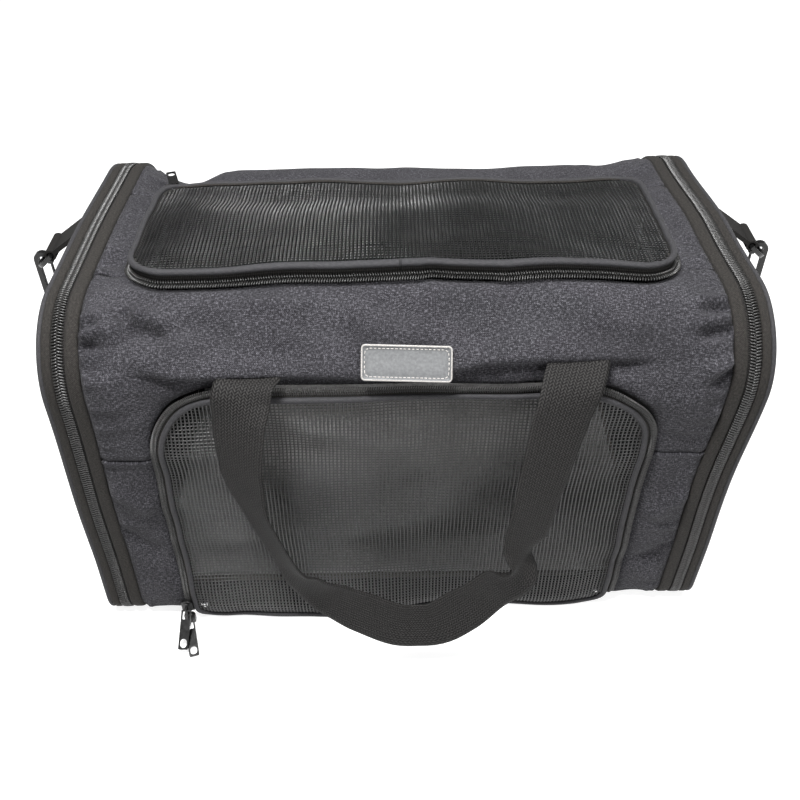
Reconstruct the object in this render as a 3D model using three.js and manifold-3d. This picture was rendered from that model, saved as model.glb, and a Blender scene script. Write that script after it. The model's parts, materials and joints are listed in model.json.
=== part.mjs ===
// Soft-sided pet carrier bag: padded fabric body, mesh front and top doors, two ends that
// zip out on a folded gusset, carry handles front and back, and a clip-on shoulder strap.
// Millimetres. +X is right seen from the front, +Y is the back, +Z is up, and the origin is
// the middle of the underside.
import * as THREE from "three";
import { mergeVertices } from "three/addons/utils/BufferGeometryUtils.js";
import Module from "manifold-3d";

// Overall body
const LENGTH = 460;
const DEPTH = 280;
const HEIGHT = 270;
const TOP_RADIUS = 55;
const BASE_RADIUS = 22;
const SKIN = 4; // padded two-layer fabric
const CLEAR = 0.3; // gap between neighbouring pieces

// End bands, measured along X from the end inwards
const PIPING = 3.1;
const OUTER_BAND = 5.7;
const COIL_ROW = 3.5; // one of the two rows of zip teeth
const INNER_BAND = 9;
const COIL_HEIGHT = 3.5;

// Doors: each zip lies on the skin, one row on the bag and one on the door
const FRONT_DOOR = { halfWidth: 166, bottom: 11, top: 227, radius: 52, lowRadius: 18 };
const TOP_DOOR = { halfWidth: 176, front: -86, back: 46, radius: 24 };
const TOP_ZIP_END = 66; // the zip runs past the door's hinge line
const DOOR_FRAME = 9; // tape and piping round the mesh
const DOOR_DEPTH = 5.5;
const MESH = 1.2;
const SEAM_Z = 166; // horizontal seam between the upper and lower panels
const TOP_SEAM_Y = -72; // seam between the front panel and the top side strips
const CUT = 30; // depth of a cutter, well through what it cuts

// Webbing
const WEBBING = 38;
const WEBBING_THICK = 1.6;
const HANDLE_HALF = 105; // from the handle's middle to the middle of each leg
const FRONT_HANDLE_X = 5; // the front handle is sewn a little to the right

// Strap hardware at each end
const TAB_WIDTH = 25;
const RING_WIRE = 3;
const BAR_X = 253; // middle of the D-ring's straight side
const BAR_Z = 249;
const HOOK_X = 264; // middle of the hook's eye
const HOOK_Z = 238.5;
const HOOK_THICK = 4;
const EYE_RADIUS = 3.2; // inside the hook's eye
const HOOK_WALL = 3.4;
const HOOK_LENGTH = 30; // from the middle of the eye down to the hook's base
const ADJUSTER_Y = 240; // middle of the strap's adjuster, behind the bag

const wasm = await Module();
wasm.setup();

const bag = new THREE.Group();
const X = new THREE.Vector3(1, 0, 0);
const Y = new THREE.Vector3(0, 1, 0);
const Z = new THREE.Vector3(0, 0, 1);

// Colours and finishes, as [colour, roughness, metalness]
const FINISH = {
  bodyFabric: [0x45444b, 0.9, 0],
  bandFabric: [0x35312f, 0.92, 0],
  meshFabric: [0x2b2a2c, 0.85, 0],
  webbing: [0x47453f, 0.88, 0],
  zipCoil: [0x232323, 0.45, 0],
  zipTape: [0x2c2a2b, 0.9, 0],
  piping: [0x39373b, 0.85, 0],
  lining: [0x39383c, 0.92, 0],
  fleece: [0xa8a6a4, 0.98, 0],
  board: [0x3a3836, 0.8, 0],
  wire: [0x8d9093, 0.35, 1],
  blackMetal: [0x171717, 0.35, 0.6],
  rubber: [0x949694, 0.6, 0],
  plastic: [0x1c1c1d, 0.5, 0],
};

function add(name, geometry, finish) {
  const [color, roughness, metalness] = FINISH[finish];
  const material = new THREE.MeshStandardMaterial({ color, roughness, metalness });
  const mesh = new THREE.Mesh(geometry, material);
  mesh.name = name;
  bag.add(mesh);
  return mesh;
}

// ---- shape helpers ----

// A rounded rectangle from low to high corner, with [bottom, top] corner radii.
function roundedOutline(x0, y0, x1, y1, low, high) {
  const path = new THREE.Shape();
  path.moveTo(x0 + low, y0);
  path.lineTo(x1 - low, y0);
  if (low > 0) path.absarc(x1 - low, y0 + low, low, -Math.PI / 2, 0, false);
  path.lineTo(x1, y1 - high);
  if (high > 0) path.absarc(x1 - high, y1 - high, high, 0, Math.PI / 2, false);
  path.lineTo(x0 + high, y1);
  if (high > 0) path.absarc(x0 + high, y1 - high, high, Math.PI / 2, Math.PI, false);
  path.lineTo(x0, y0 + low);
  if (low > 0) path.absarc(x0 + low, y0 + low, low, Math.PI, Math.PI * 1.5, false);
  return path;
}

const extrude = (shape, depth, curveSegments = 4) =>
  new THREE.ExtrudeGeometry(shape, { depth, curveSegments, bevelEnabled: false });

// A shape drawn in (y, z), made solid from x0 to x1.
function alongX(shape, x0, x1, segments) {
  const geometry = extrude(shape, x1 - x0, segments);
  geometry.applyMatrix4(new THREE.Matrix4().makeBasis(Y, Z, X).setPosition(x0, 0, 0));
  return geometry;
}

// A shape drawn in (x, z), made solid from yBack forwards (towards -Y) by depth.
function alongY(shape, yBack, depth, segments) {
  const geometry = extrude(shape, depth, segments);
  const forwards = Y.clone().negate();
  geometry.applyMatrix4(new THREE.Matrix4().makeBasis(X, Z, forwards).setPosition(0, yBack, 0));
  return geometry;
}

// A shape drawn in (x, y), made solid from z0 up by depth.
function alongZ(shape, z0, depth, segments) {
  const geometry = extrude(shape, depth, segments);
  geometry.translate(0, 0, z0);
  return geometry;
}

function toSolid(geometry) {
  const bare = geometry.clone();
  bare.deleteAttribute("normal");
  bare.deleteAttribute("uv");
  const merged = mergeVertices(bare, 1e-3);
  return new wasm.Manifold(
    new wasm.Mesh({
      numProp: 3,
      vertProperties: new Float32Array(merged.attributes.position.array),
      triVerts: new Uint32Array(merged.index.array),
    }),
  );
}

function toGeometry(solid) {
  const { vertProperties, triVerts } = solid.getMesh();
  const geometry = new THREE.BufferGeometry();
  geometry.setAttribute("position", new THREE.BufferAttribute(vertProperties, 3));
  geometry.setIndex(new THREE.BufferAttribute(triVerts, 1));
  return geometry;
}

function cut(geometry, ...cutters) {
  let solid = toSolid(geometry);
  for (const cutter of cutters) solid = solid.subtract(toSolid(cutter));
  return toGeometry(solid);
}

function join(...pieces) {
  let solid = toSolid(pieces[0]);
  for (const piece of pieces.slice(1)) solid = solid.add(toSolid(piece));
  return toGeometry(solid);
}

// The bag's cross-section, drawn in (y, z) and shrunk by inset.
function bagOutline(inset) {
  const half = DEPTH / 2 - inset;
  const low = BASE_RADIUS - inset;
  return roundedOutline(-half, inset, half, HEIGHT - inset, low, TOP_RADIUS - inset);
}

function bagRing(outer, inner, x0, x1) {
  const shape = bagOutline(outer);
  shape.holes.push(bagOutline(inner));
  return alongX(shape, x0, x1);
}

// An arc of the cross-section as [y, z, normal y, normal z] points.
function arc(cy, cz, radius, from, to, steps) {
  const points = [];
  for (let i = 0; i <= steps; i++) {
    const a = THREE.MathUtils.degToRad(from + ((to - from) * i) / steps);
    points.push([cy + radius * Math.cos(a), cz + radius * Math.sin(a), Math.cos(a), Math.sin(a)]);
  }
  return points;
}

// A panel of the bag's skin: outer points with normals, thickened inwards, from x0 to x1.
function skinPanel(points, x0, x1) {
  const outer = points.map(([y, z]) => new THREE.Vector2(y, z));
  const inner = points.map(([y, z, ny, nz]) => new THREE.Vector2(y - SKIN * ny, z - SKIN * nz));
  return alongX(new THREE.Shape([...outer, ...inner.reverse()]), x0, x1);
}

// Flat webbing swept along a route; faceAt(t) is the way its flat face looks at t from 0 to 1.
function webbing(route, faceAt, width, steps) {
  const curve = new THREE.CatmullRomCurve3(route.map((p) => new THREE.Vector3(...p)));
  const positions = [];
  for (let i = 0; i <= steps; i++) {
    const t = i / steps;
    const centre = curve.getPointAt(t);
    const side = new THREE.Vector3().crossVectors(curve.getTangentAt(t), faceAt(t)).normalize();
    const face = new THREE.Vector3().crossVectors(side, curve.getTangentAt(t)).normalize();
    for (const [s, f] of [[-1, -1], [1, -1], [1, 1], [-1, 1]]) {
      const corner = centre.clone();
      corner.addScaledVector(side, (s * width) / 2);
      corner.addScaledVector(face, (f * WEBBING_THICK) / 2);
      positions.push(corner.x, corner.y, corner.z);
    }
  }
  const index = [0, 1, 2, 0, 2, 3];
  for (let i = 0; i < steps; i++) {
    for (let k = 0; k < 4; k++) {
      const a = 4 * i + k;
      const b = 4 * i + ((k + 1) % 4);
      // opposite faces are split along the same diagonal, so a twist keeps its thickness
      if (k < 2) index.push(a, a + 4, b, b, a + 4, b + 4);
      else index.push(a, a + 4, b + 4, a, b + 4, b);
    }
  }
  const last = 4 * steps;
  index.push(last, last + 2, last + 1, last, last + 3, last + 2);
  const geometry = new THREE.BufferGeometry();
  geometry.setAttribute("position", new THREE.Float32BufferAttribute(positions, 3));
  geometry.setIndex(index);
  return geometry;
}

// ---- body ----

const halfDepth = DEPTH / 2;
const topFlat = halfDepth - TOP_RADIUS; // where the top's flat part ends
const cornerZ = HEIGHT - TOP_RADIUS;
const baseFlat = halfDepth - BASE_RADIUS;
const bodyHalf = LENGTH / 2 - PIPING - OUTER_BAND - 2 * COIL_ROW - INNER_BAND - 5 * CLEAR;

const inset = (d, by) => ({
  halfWidth: d.halfWidth - by,
  bottom: d.bottom + by,
  top: d.top - by,
  front: d.front + by,
  back: d.back - by,
  radius: d.radius - by,
  lowRadius: Math.max(d.lowRadius - by, 1),
});

// The front door's outline, in (x, z): an arch with rounded lower corners.
function frontOutline(by, bottomBy = by) {
  const d = inset(FRONT_DOOR, by);
  const bottom = FRONT_DOOR.bottom + bottomBy;
  return roundedOutline(-d.halfWidth, bottom, d.halfWidth, d.top, d.lowRadius, d.radius);
}

// The top door's outline, in (x, y): round at the front, square at the hinge.
function topOutline(by, backBy = by) {
  const d = inset(TOP_DOOR, by);
  const back = TOP_DOOR.back - backBy;
  return roundedOutline(-d.halfWidth, d.front, d.halfWidth, back, d.radius, 4);
}

function addBody() {
  const frontCut = alongY(frontOutline(COIL_ROW, 0), -DEPTH / 4, DEPTH / 2);
  const topCut = alongZ(topOutline(COIL_ROW, 0), HEIGHT / 2, HEIGHT);
  const frontBottom = arc(-baseFlat, BASE_RADIUS, BASE_RADIUS, 270, 211, 4);
  const backBottom = arc(baseFlat, BASE_RADIUS, BASE_RADIUS, 360, 270, 5);
  const bottom = skinPanel([...backBottom, ...frontBottom], -bodyHalf, bodyHalf);
  add("bottom_panel", bottom, "bodyFabric");

  const upper = [
    [-halfDepth, SEAM_Z, -1, 0],
    ...arc(-topFlat, cornerZ, TOP_RADIUS, 180, 90, 9),
    [TOP_SEAM_Y, HEIGHT, 0, 1],
  ];
  const front = skinPanel(upper, -bodyHalf, bodyHalf);
  add("front_upper_panel", cut(front, frontCut, topCut), "bodyFabric");

  const lowStart = arc(-baseFlat, BASE_RADIUS, BASE_RADIUS, 210, 180, 2);
  const lower = [...lowStart, [-halfDepth, SEAM_Z - CLEAR, -1, 0]];
  const inner = FRONT_DOOR.halfWidth - FRONT_DOOR.lowRadius;
  const right = skinPanel(lower, inner, bodyHalf);
  const left = skinPanel(lower, -bodyHalf, -inner);
  add("front_lower_right_panel", cut(right, frontCut), "bodyFabric");
  add("front_lower_left_panel", cut(left, frontCut), "bodyFabric");

  const side = TOP_DOOR.halfWidth - COIL_ROW;
  const topStrip = (x0, x1) =>
    skinPanel([[TOP_SEAM_Y + CLEAR, HEIGHT, 0, 1], [TOP_DOOR.back, HEIGHT, 0, 1]], x0, x1);
  add("top_left_panel", topStrip(-bodyHalf, -side), "bodyFabric");
  add("top_right_panel", topStrip(side, bodyHalf), "bodyFabric");

  const back = [
    [TOP_DOOR.back + CLEAR, HEIGHT, 0, 1],
    ...arc(topFlat, cornerZ, TOP_RADIUS, 90, 0, 9),
    [halfDepth, SEAM_Z, 1, 0],
  ];
  add("top_back_panel", skinPanel(back, -bodyHalf, bodyHalf), "bodyFabric");
  const backLower = [
    [halfDepth, SEAM_Z - CLEAR, 1, 0],
    [halfDepth, BASE_RADIUS + CLEAR, 1, 0],
  ];
  add("back_panel", skinPanel(backLower, -bodyHalf, bodyHalf), "bodyFabric");
}

function addFloor() {
  const boardShape = roundedOutline(-198, -117, 198, 117, 8, 8);
  add("base_board", alongZ(boardShape, SKIN + CLEAR, 3.6, 3), "board");
  const padShape = roundedOutline(-197, -127, 197, 127, 14, 14);
  add("floor_pad", alongZ(padShape, SKIN + 3.6 + 3 * CLEAR, 18, 4), "fleece");
}

// ---- ends: s is +1 on the right and -1 on the left ----

function addEnd(side, s) {
  const ring = (name, outer, inner, from, width, finish) => {
    const x = s > 0 ? [from, from + width] : [-from - width, -from];
    add(`${side}_${name}`, bagRing(outer, inner, ...x), finish);
    return from + width + CLEAR;
  };
  let x = bodyHalf + CLEAR;
  ring("end_gusset", 2 * SKIN, 2 * SKIN + 2, x, INNER_BAND + COIL_ROW, "lining");
  x = ring("inner_band", 0, SKIN, x, INNER_BAND, "bandFabric");
  x = ring("body_coil", 0, COIL_HEIGHT, x, COIL_ROW, "zipCoil");
  ring("end_hoop", COIL_HEIGHT + 1, COIL_HEIGHT + 3.5, x, COIL_ROW - 1, "wire");
  x = ring("end_coil", 0, COIL_HEIGHT, x, COIL_ROW, "zipCoil");
  const panelX = x + CLEAR;
  x = ring("outer_band", 0, SKIN, x, OUTER_BAND, "bandFabric");
  ring("end_piping", 0, PIPING, x, PIPING, "piping");
  const panel = bagOutline(SKIN + CLEAR);
  const [x0, x1] = s > 0 ? [panelX, panelX + SKIN] : [-panelX - SKIN, -panelX];
  add(`${side}_end_panel`, alongX(panel, x0, x1), "bodyFabric");
}

// ---- doors ----

function addFrontDoor() {
  // the bag's row of teeth is an arch that ends above the lower corners, clear of the hinge
  const arch = alongY(frontOutline(0, 0), -halfDepth - CLEAR, COIL_HEIGHT);
  const inside = alongY(frontOutline(COIL_ROW, 0), -halfDepth + CUT / 3, CUT);
  const archEnd = FRONT_DOOR.bottom + FRONT_DOOR.lowRadius + 2;
  const low = alongY(roundedOutline(-DEPTH, 0, DEPTH, archEnd, 0, 0), -halfDepth + CUT / 3, CUT);
  const below = alongY(roundedOutline(-150, 0, 150, 40, 0, 0), -halfDepth + CUT / 3, CUT);
  add("front_body_coil", cut(arch, inside, low), "zipCoil");

  const by = COIL_ROW + CLEAR;
  const coil = alongY(frontOutline(by, CLEAR), -halfDepth - CLEAR, COIL_HEIGHT);
  const frameHole = alongY(frontOutline(2 * COIL_ROW + 1.5 * CLEAR, 0), -halfDepth + CUT / 3, CUT);
  add("front_door_coil", cut(coil, frameHole, below), "zipCoil");

  const frameBy = 2 * COIL_ROW + 2 * CLEAR;
  const frame = frontOutline(frameBy, CLEAR);
  frame.holes.push(frontOutline(frameBy + DOOR_FRAME));
  const yBack = -halfDepth + DOOR_DEPTH - COIL_HEIGHT - CLEAR;
  add("front_door_frame", alongY(frame, yBack, DOOR_DEPTH), "piping");
  const mesh = frontOutline(frameBy + DOOR_FRAME + CLEAR);
  add("front_door_mesh", alongY(mesh, -halfDepth, MESH), "meshFabric");
}

function addTopDoor() {
  const z = HEIGHT + CLEAR;
  const long = { ...TOP_DOOR, back: TOP_ZIP_END };
  const run = (by) => {
    const d = inset(long, by);
    return roundedOutline(-d.halfWidth, d.front, d.halfWidth, TOP_ZIP_END, d.radius, 0);
  };
  const slab = alongZ(run(0), z, COIL_HEIGHT);
  const middle = inset(long, COIL_ROW);
  const past = TOP_ZIP_END + CUT;
  const inner = roundedOutline(
    -middle.halfWidth, middle.front, middle.halfWidth, past, middle.radius, 0);
  add("top_body_coil", cut(slab, alongZ(inner, z - CUT / 3, CUT)), "zipCoil");

  const by = COIL_ROW + CLEAR;
  const coil = alongZ(topOutline(by, CLEAR), z, COIL_HEIGHT);
  const frameBy = 2 * COIL_ROW + 2 * CLEAR;
  const clear = inset(TOP_DOOR, frameBy - CLEAR / 2);
  const hole = roundedOutline(
    -clear.halfWidth, clear.front, clear.halfWidth, past, clear.radius, 0);
  add("top_door_coil", cut(coil, alongZ(hole, z - CUT / 3, CUT)), "zipCoil");

  const frame = topOutline(frameBy, CLEAR);
  frame.holes.push(topOutline(frameBy + DOOR_FRAME));
  add("top_door_frame", alongZ(frame, z - 2, DOOR_DEPTH), "piping");
  const mesh = topOutline(frameBy + DOOR_FRAME + CLEAR);
  add("top_door_mesh", alongZ(mesh, z - 1, MESH), "meshFabric");
}

// ---- zip sliders and pulls ----

const SLIDER = { length: 11, width: 8.5, height: 3 };
const CROWN = { width: 1.6, wall: 1.1, reach: 5.2 };
const PULL = { length: 29, width: 7.5, thick: 1.1, neck: 1.3 };
const HINGE_OVER = 2.9; // from the slider's outer face to the pull's hinge line

// A slider lying on its zip: local X along the zip, local Z away from the bag.
function sliderGeometry() {
  const base = roundedOutline(
    -SLIDER.length / 2, -SLIDER.width / 2, SLIDER.length / 2, SLIDER.width / 2, 2.5, 2.5);
  const plate = alongZ(base, 0, SLIDER.height, 2);
  const arch = new THREE.Shape();
  arch.moveTo(-3.2, SLIDER.height - 0.5);
  arch.lineTo(3.2, SLIDER.height - 0.5);
  arch.lineTo(2.7, SLIDER.height + CROWN.reach);
  arch.lineTo(-2.7, SLIDER.height + CROWN.reach);
  const hole = new THREE.Path();
  hole.moveTo(-2.1, SLIDER.height + 0.4);
  hole.lineTo(-1.8, SLIDER.height + CROWN.reach - CROWN.wall);
  hole.lineTo(1.8, SLIDER.height + CROWN.reach - CROWN.wall);
  hole.lineTo(2.1, SLIDER.height + 0.4);
  arch.holes.push(hole);
  return join(plate, alongY(arch, CROWN.width / 2, CROWN.width));
}

// A pull tab: its hinge bar is at the origin along local Y, and the tab runs along local +X.
function pullGeometry() {
  const half = PULL.width / 2;
  const shape = roundedOutline(-PULL.neck / 2, -half, PULL.length, half, 1, 1);
  shape.holes.push(roundedOutline(PULL.neck / 2, -half + 1.1, 6.5, half - 1.1, 0.8, 0.8));
  shape.holes.push(roundedOutline(PULL.length - 8, -half + 1.2, PULL.length - 1.4, half - 1.2, 2.4, 2.4));
  return alongZ(shape, -PULL.thick / 2, PULL.thick, 2);
}

// Turns a piece so its local X and Z lie along the given ways, then moves it.
function place(mesh, along, out, position) {
  const x = along.clone().normalize();
  const y = new THREE.Vector3().crossVectors(out, x).normalize();
  const z = new THREE.Vector3().crossVectors(x, y);
  mesh.quaternion.setFromRotationMatrix(new THREE.Matrix4().makeBasis(x, y, z));
  mesh.position.copy(position);
}

function addSlider(name, position, along, out, pullWay, pullOut) {
  place(add(`${name}_slider`, sliderGeometry(), "blackMetal"), along, out, position);
  const hinge = position.clone().addScaledVector(out, SLIDER.height + HINGE_OVER);
  place(add(`${name}_pull`, pullGeometry(), "blackMetal"), pullWay, pullOut, hinge);
}

function addSliders() {
  const front = Y.clone().negate();
  const back = Y.clone();
  const zipX = -FRONT_DOOR.halfWidth - 1;
  const frontY = -halfDepth - COIL_HEIGHT - 2 * CLEAR;
  const lower = new THREE.Vector3(zipX, frontY, 6.2);
  const lowerWay = new THREE.Vector3(0.26, -0.95, -0.16);
  addSlider("front_lower", lower, Z, front, lowerWay, Z);
  const upper = new THREE.Vector3(zipX, frontY, 20);
  addSlider("front_upper", upper, Z, front, new THREE.Vector3(-0.05, -0.82, -0.55), Z);

  const topX = -TOP_DOOR.halfWidth + COIL_ROW;
  const top = new THREE.Vector3(topX, TOP_ZIP_END - 8, HEIGHT + COIL_HEIGHT + 2 * CLEAR);
  addSlider("top", top, Y, Z, new THREE.Vector3(-0.3, 0.95, -0.06), Z);

  for (const [name, s] of [["left_end", -1], ["right_end", 1]]) {
    const x = s * (bodyHalf + INNER_BAND + COIL_ROW + 2.5 * CLEAR);
    const at = new THREE.Vector3(x, halfDepth + CLEAR, 60);
    addSlider(name, at, Z, back, Z.clone().negate(), back);
  }
}

// ---- handles, badge ----

function addHandle(name, centreX, s) {
  // one leg of the route, from the sewn end to the bottom of the loop
  const leg = [
    [-HANDLE_HALF, 135, 243],
    [-HANDLE_HALF, 142.5, 236],
    [-HANDLE_HALF, 147.5, 225],
    [-HANDLE_HALF + 1, 158, 190],
    [-HANDLE_HALF + 4, 170, 155],
    [-HANDLE_HALF + 12, 180, 118],
    [-HANDLE_HALF + 29, 187, 85],
    [-HANDLE_HALF + 56, 190, 61],
    [-HANDLE_HALF + 90, 191, 50],
  ];
  const mirrored = leg.map(([x, y, z]) => [-x, y, z]).reverse();
  const route = [...leg, ...mirrored].map(([x, y, z]) => [centreX + x, s * y, z]);
  const outwards = (t) => {
    const low = Math.sin(Math.PI * t); // the loop's bottom leans a little down
    return new THREE.Vector3(0, s * 0.95, 0.32 * (1 - 2 * low));
  };
  add(name, webbing(route, outwards, WEBBING, 36), "webbing");
}

function addBadge() {
  const lean = THREE.MathUtils.degToRad(31); // up the front top corner's curve
  const out = new THREE.Vector3(0, -Math.cos(lean), Math.sin(lean));
  const badge = add("label_badge", alongZ(roundedOutline(-28.5, -10, 28.5, 10, 3, 3), 0, 2, 3), "rubber");
  const from = new THREE.Vector3(2, -topFlat, cornerZ);
  place(badge, X, out, from.addScaledVector(out, TOP_RADIUS + CLEAR));
}

// ---- shoulder strap and its hardware ----

// A webbing tab from the top of the end, out and down to a loop round the ring's bar.
function tabGeometry(s) {
  const loop = RING_WIRE * 0.71 + 0.5; // clears the wire's corners
  const t = WEBBING_THICK;
  const centre = new THREE.Vector2(s * BAR_X, BAR_Z);
  const root = new THREE.Vector2(s * (LENGTH / 2 + 0.6), HEIGHT - 5);
  const shape = new THREE.Shape();
  shape.absarc(centre.x, centre.y, loop + t, 0, Math.PI * 2, false);
  const hole = new THREE.Path();
  hole.absarc(centre.x, centre.y, loop, 0, Math.PI * 2, true);
  shape.holes.push(hole);
  const ring = alongY(shape, TAB_WIDTH / 2, TAB_WIDTH, 10);
  const way = centre.clone().sub(root).normalize();
  const across = new THREE.Vector2(-way.y, way.x);
  const near = centre.clone().addScaledVector(way, -loop - t / 2);
  const corners = [[root, -1], [near, -1], [near, 1], [root, 1]].map(([p, k]) =>
    p.clone().addScaledVector(across, k * t));
  return join(ring, alongY(new THREE.Shape(corners), TAB_WIDTH / 2, TAB_WIDTH));
}

// The D-ring: a straight bar through the tab and a bow that the hook hangs on.
function ringGeometry(s) {
  const bow = 17; // how far the bow stands off the bar
  const half = TAB_WIDTH / 2 + RING_WIRE + 0.6;
  const lean = new THREE.Vector2(HOOK_X - BAR_X, HOOK_Z - BAR_Z).normalize();
  const outline = (by) => {
    const path = new THREE.Shape();
    path.moveTo(-RING_WIRE / 2 + by, half - by);
    path.lineTo(-RING_WIRE / 2 + by, -half + by);
    path.lineTo(4, -half + by);
    path.quadraticCurveTo(bow - by, -half + by, bow - by, 0);
    path.quadraticCurveTo(bow - by, half - by, 4, half - by);
    return path;
  };
  const shape = outline(0);
  shape.holes.push(outline(RING_WIRE));
  const geometry = alongZ(shape, -RING_WIRE / 2, RING_WIRE, 6);
  const out = new THREE.Vector3(s * lean.x, 0, lean.y);
  const up = new THREE.Vector3().crossVectors(out, Y).normalize();
  geometry.applyMatrix4(new THREE.Matrix4().makeBasis(out, Y, up));
  geometry.translate(s * BAR_X, 0, BAR_Z);
  return geometry;
}

// The snap hook: a J in the plane of X and Z, a base, and a wide loop for the webbing.
function hookGeometry(s) {
  const r = EYE_RADIUS;
  const wall = HOOK_WALL;
  const low = HOOK_Z - HOOK_LENGTH;
  const j = new THREE.Shape();
  j.moveTo(-r - wall, low);
  j.lineTo(-r - wall, HOOK_Z);
  j.absarc(0, HOOK_Z, r + wall, Math.PI, 0, true);
  j.lineTo(r + wall, HOOK_Z - 3);
  j.lineTo(r, HOOK_Z - 3);
  j.lineTo(r, HOOK_Z);
  j.absarc(0, HOOK_Z, r, 0, Math.PI, false);
  j.lineTo(-r, low);
  const base = roundedOutline(-r - wall, low - 7, r + wall, low + 1, 1.5, 0.5);
  const neck = roundedOutline(-2.5, low - 13, 2.5, low - 6, 0, 0);
  const hook = join(
    alongY(j, HOOK_THICK / 2, HOOK_THICK, 5),
    alongY(base, HOOK_THICK, 2 * HOOK_THICK, 3),
    alongY(neck, 2.5, 5),
    strapLoop(low - 12),
  );
  const turned = s > 0 ? hook.rotateZ(Math.PI) : hook;
  return turned.translate(s * HOOK_X, 0, 0);
}

// A rectangular frame that the webbing passes through, hanging below topZ.
function strapLoop(topZ) {
  const half = WEBBING / 2 + 4;
  const shape = roundedOutline(-half, topZ - 13, half, topZ, 3, 3);
  shape.holes.push(roundedOutline(-half + 3, topZ - 10, half - 3, topZ - 3, 1.5, 1.5));
  return alongX(shape, -1.5, 1.5, 3);
}

function gateGeometry(s) {
  const r = EYE_RADIUS;
  const low = HOOK_Z - HOOK_LENGTH + 1.5;
  const shape = roundedOutline(r + 1, low, r + 2.6, HOOK_Z - 3.4, 0.5, 0.5);
  const gate = alongY(shape, 1, 2, 2);
  const turned = s > 0 ? gate.rotateZ(Math.PI) : gate;
  return turned.translate(s * HOOK_X, 0, 0);
}

// Half of the shoulder strap, from the hook's loop down the end and round behind the bag.
const STRAP_ROUTE = [
  [264, 0, 180.5],
  [264.5, 1.5, 168],
  [265, 11, 146],
  [266, 30, 110],
  [269, 52, 72],
  [277, 78, 40],
  [291, 106, 16],
  [302, 138, 3.5],
  [300, 176, 1.4],
  [281, 212, 1.4],
  [247, 236, 1.4],
  [200, 244, 1.4],
  [150, 240, 1.4],
  [100, 235, 1.4],
  [55, 237, 1.4],
  [13, 240, 1.4],
];
const TWIST_FROM = 0.24; // the strap turns from facing sideways to lying flat between these
const TWIST_TO = 0.4;

function addStrapHalf(side, s) {
  const faceAt = (t) => {
    const turn = THREE.MathUtils.smoothstep(t, TWIST_FROM, TWIST_TO) * (Math.PI / 2);
    return new THREE.Vector3(s * Math.cos(turn), 0, Math.sin(turn));
  };
  const route = STRAP_ROUTE.map(([x, y, z]) => [s * x, y, z]);
  add(`${side}_strap`, webbing(route, faceAt, WEBBING, 36), "webbing");
}

function addAdjuster() {
  const half = WEBBING / 2 + 4;
  const y = ADJUSTER_Y;
  const shape = roundedOutline(-11, y - half, 11, y + half, 4, 4);
  shape.holes.push(roundedOutline(-8, y - half + 4, -2, y + half - 4, 1.5, 1.5));
  shape.holes.push(roundedOutline(2, y - half + 4, 8, y + half - 4, 1.5, 1.5));
  add("strap_adjuster", alongZ(shape, 0.2, 3, 2), "plastic");
}

function addStrapHardware(side, s) {
  add(`${side}_ring_tab`, tabGeometry(s), "webbing");
  add(`${side}_d_ring`, ringGeometry(s), "blackMetal");
  add(`${side}_snap_hook`, hookGeometry(s), "blackMetal");
  add(`${side}_hook_gate`, gateGeometry(s), "blackMetal");
  addStrapHalf(side, s);
}

addBody();
addFloor();
addFrontDoor();
addTopDoor();
addSliders();
addHandle("front_handle", FRONT_HANDLE_X, -1);
addHandle("back_handle", 0, 1);
addBadge();
addAdjuster();
for (const [side, s] of [["left", -1], ["right", 1]]) {
  addEnd(side, s);
  addStrapHardware(side, s);
}

export default bag;
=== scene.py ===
"""Looks for the pet carrier bag: padded fabric, mesh doors, zips, webbing and hardware.

Everything is in metres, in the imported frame: +X right, +Y back, +Z up, the floor at z = 0.
"""

import json
import math

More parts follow.
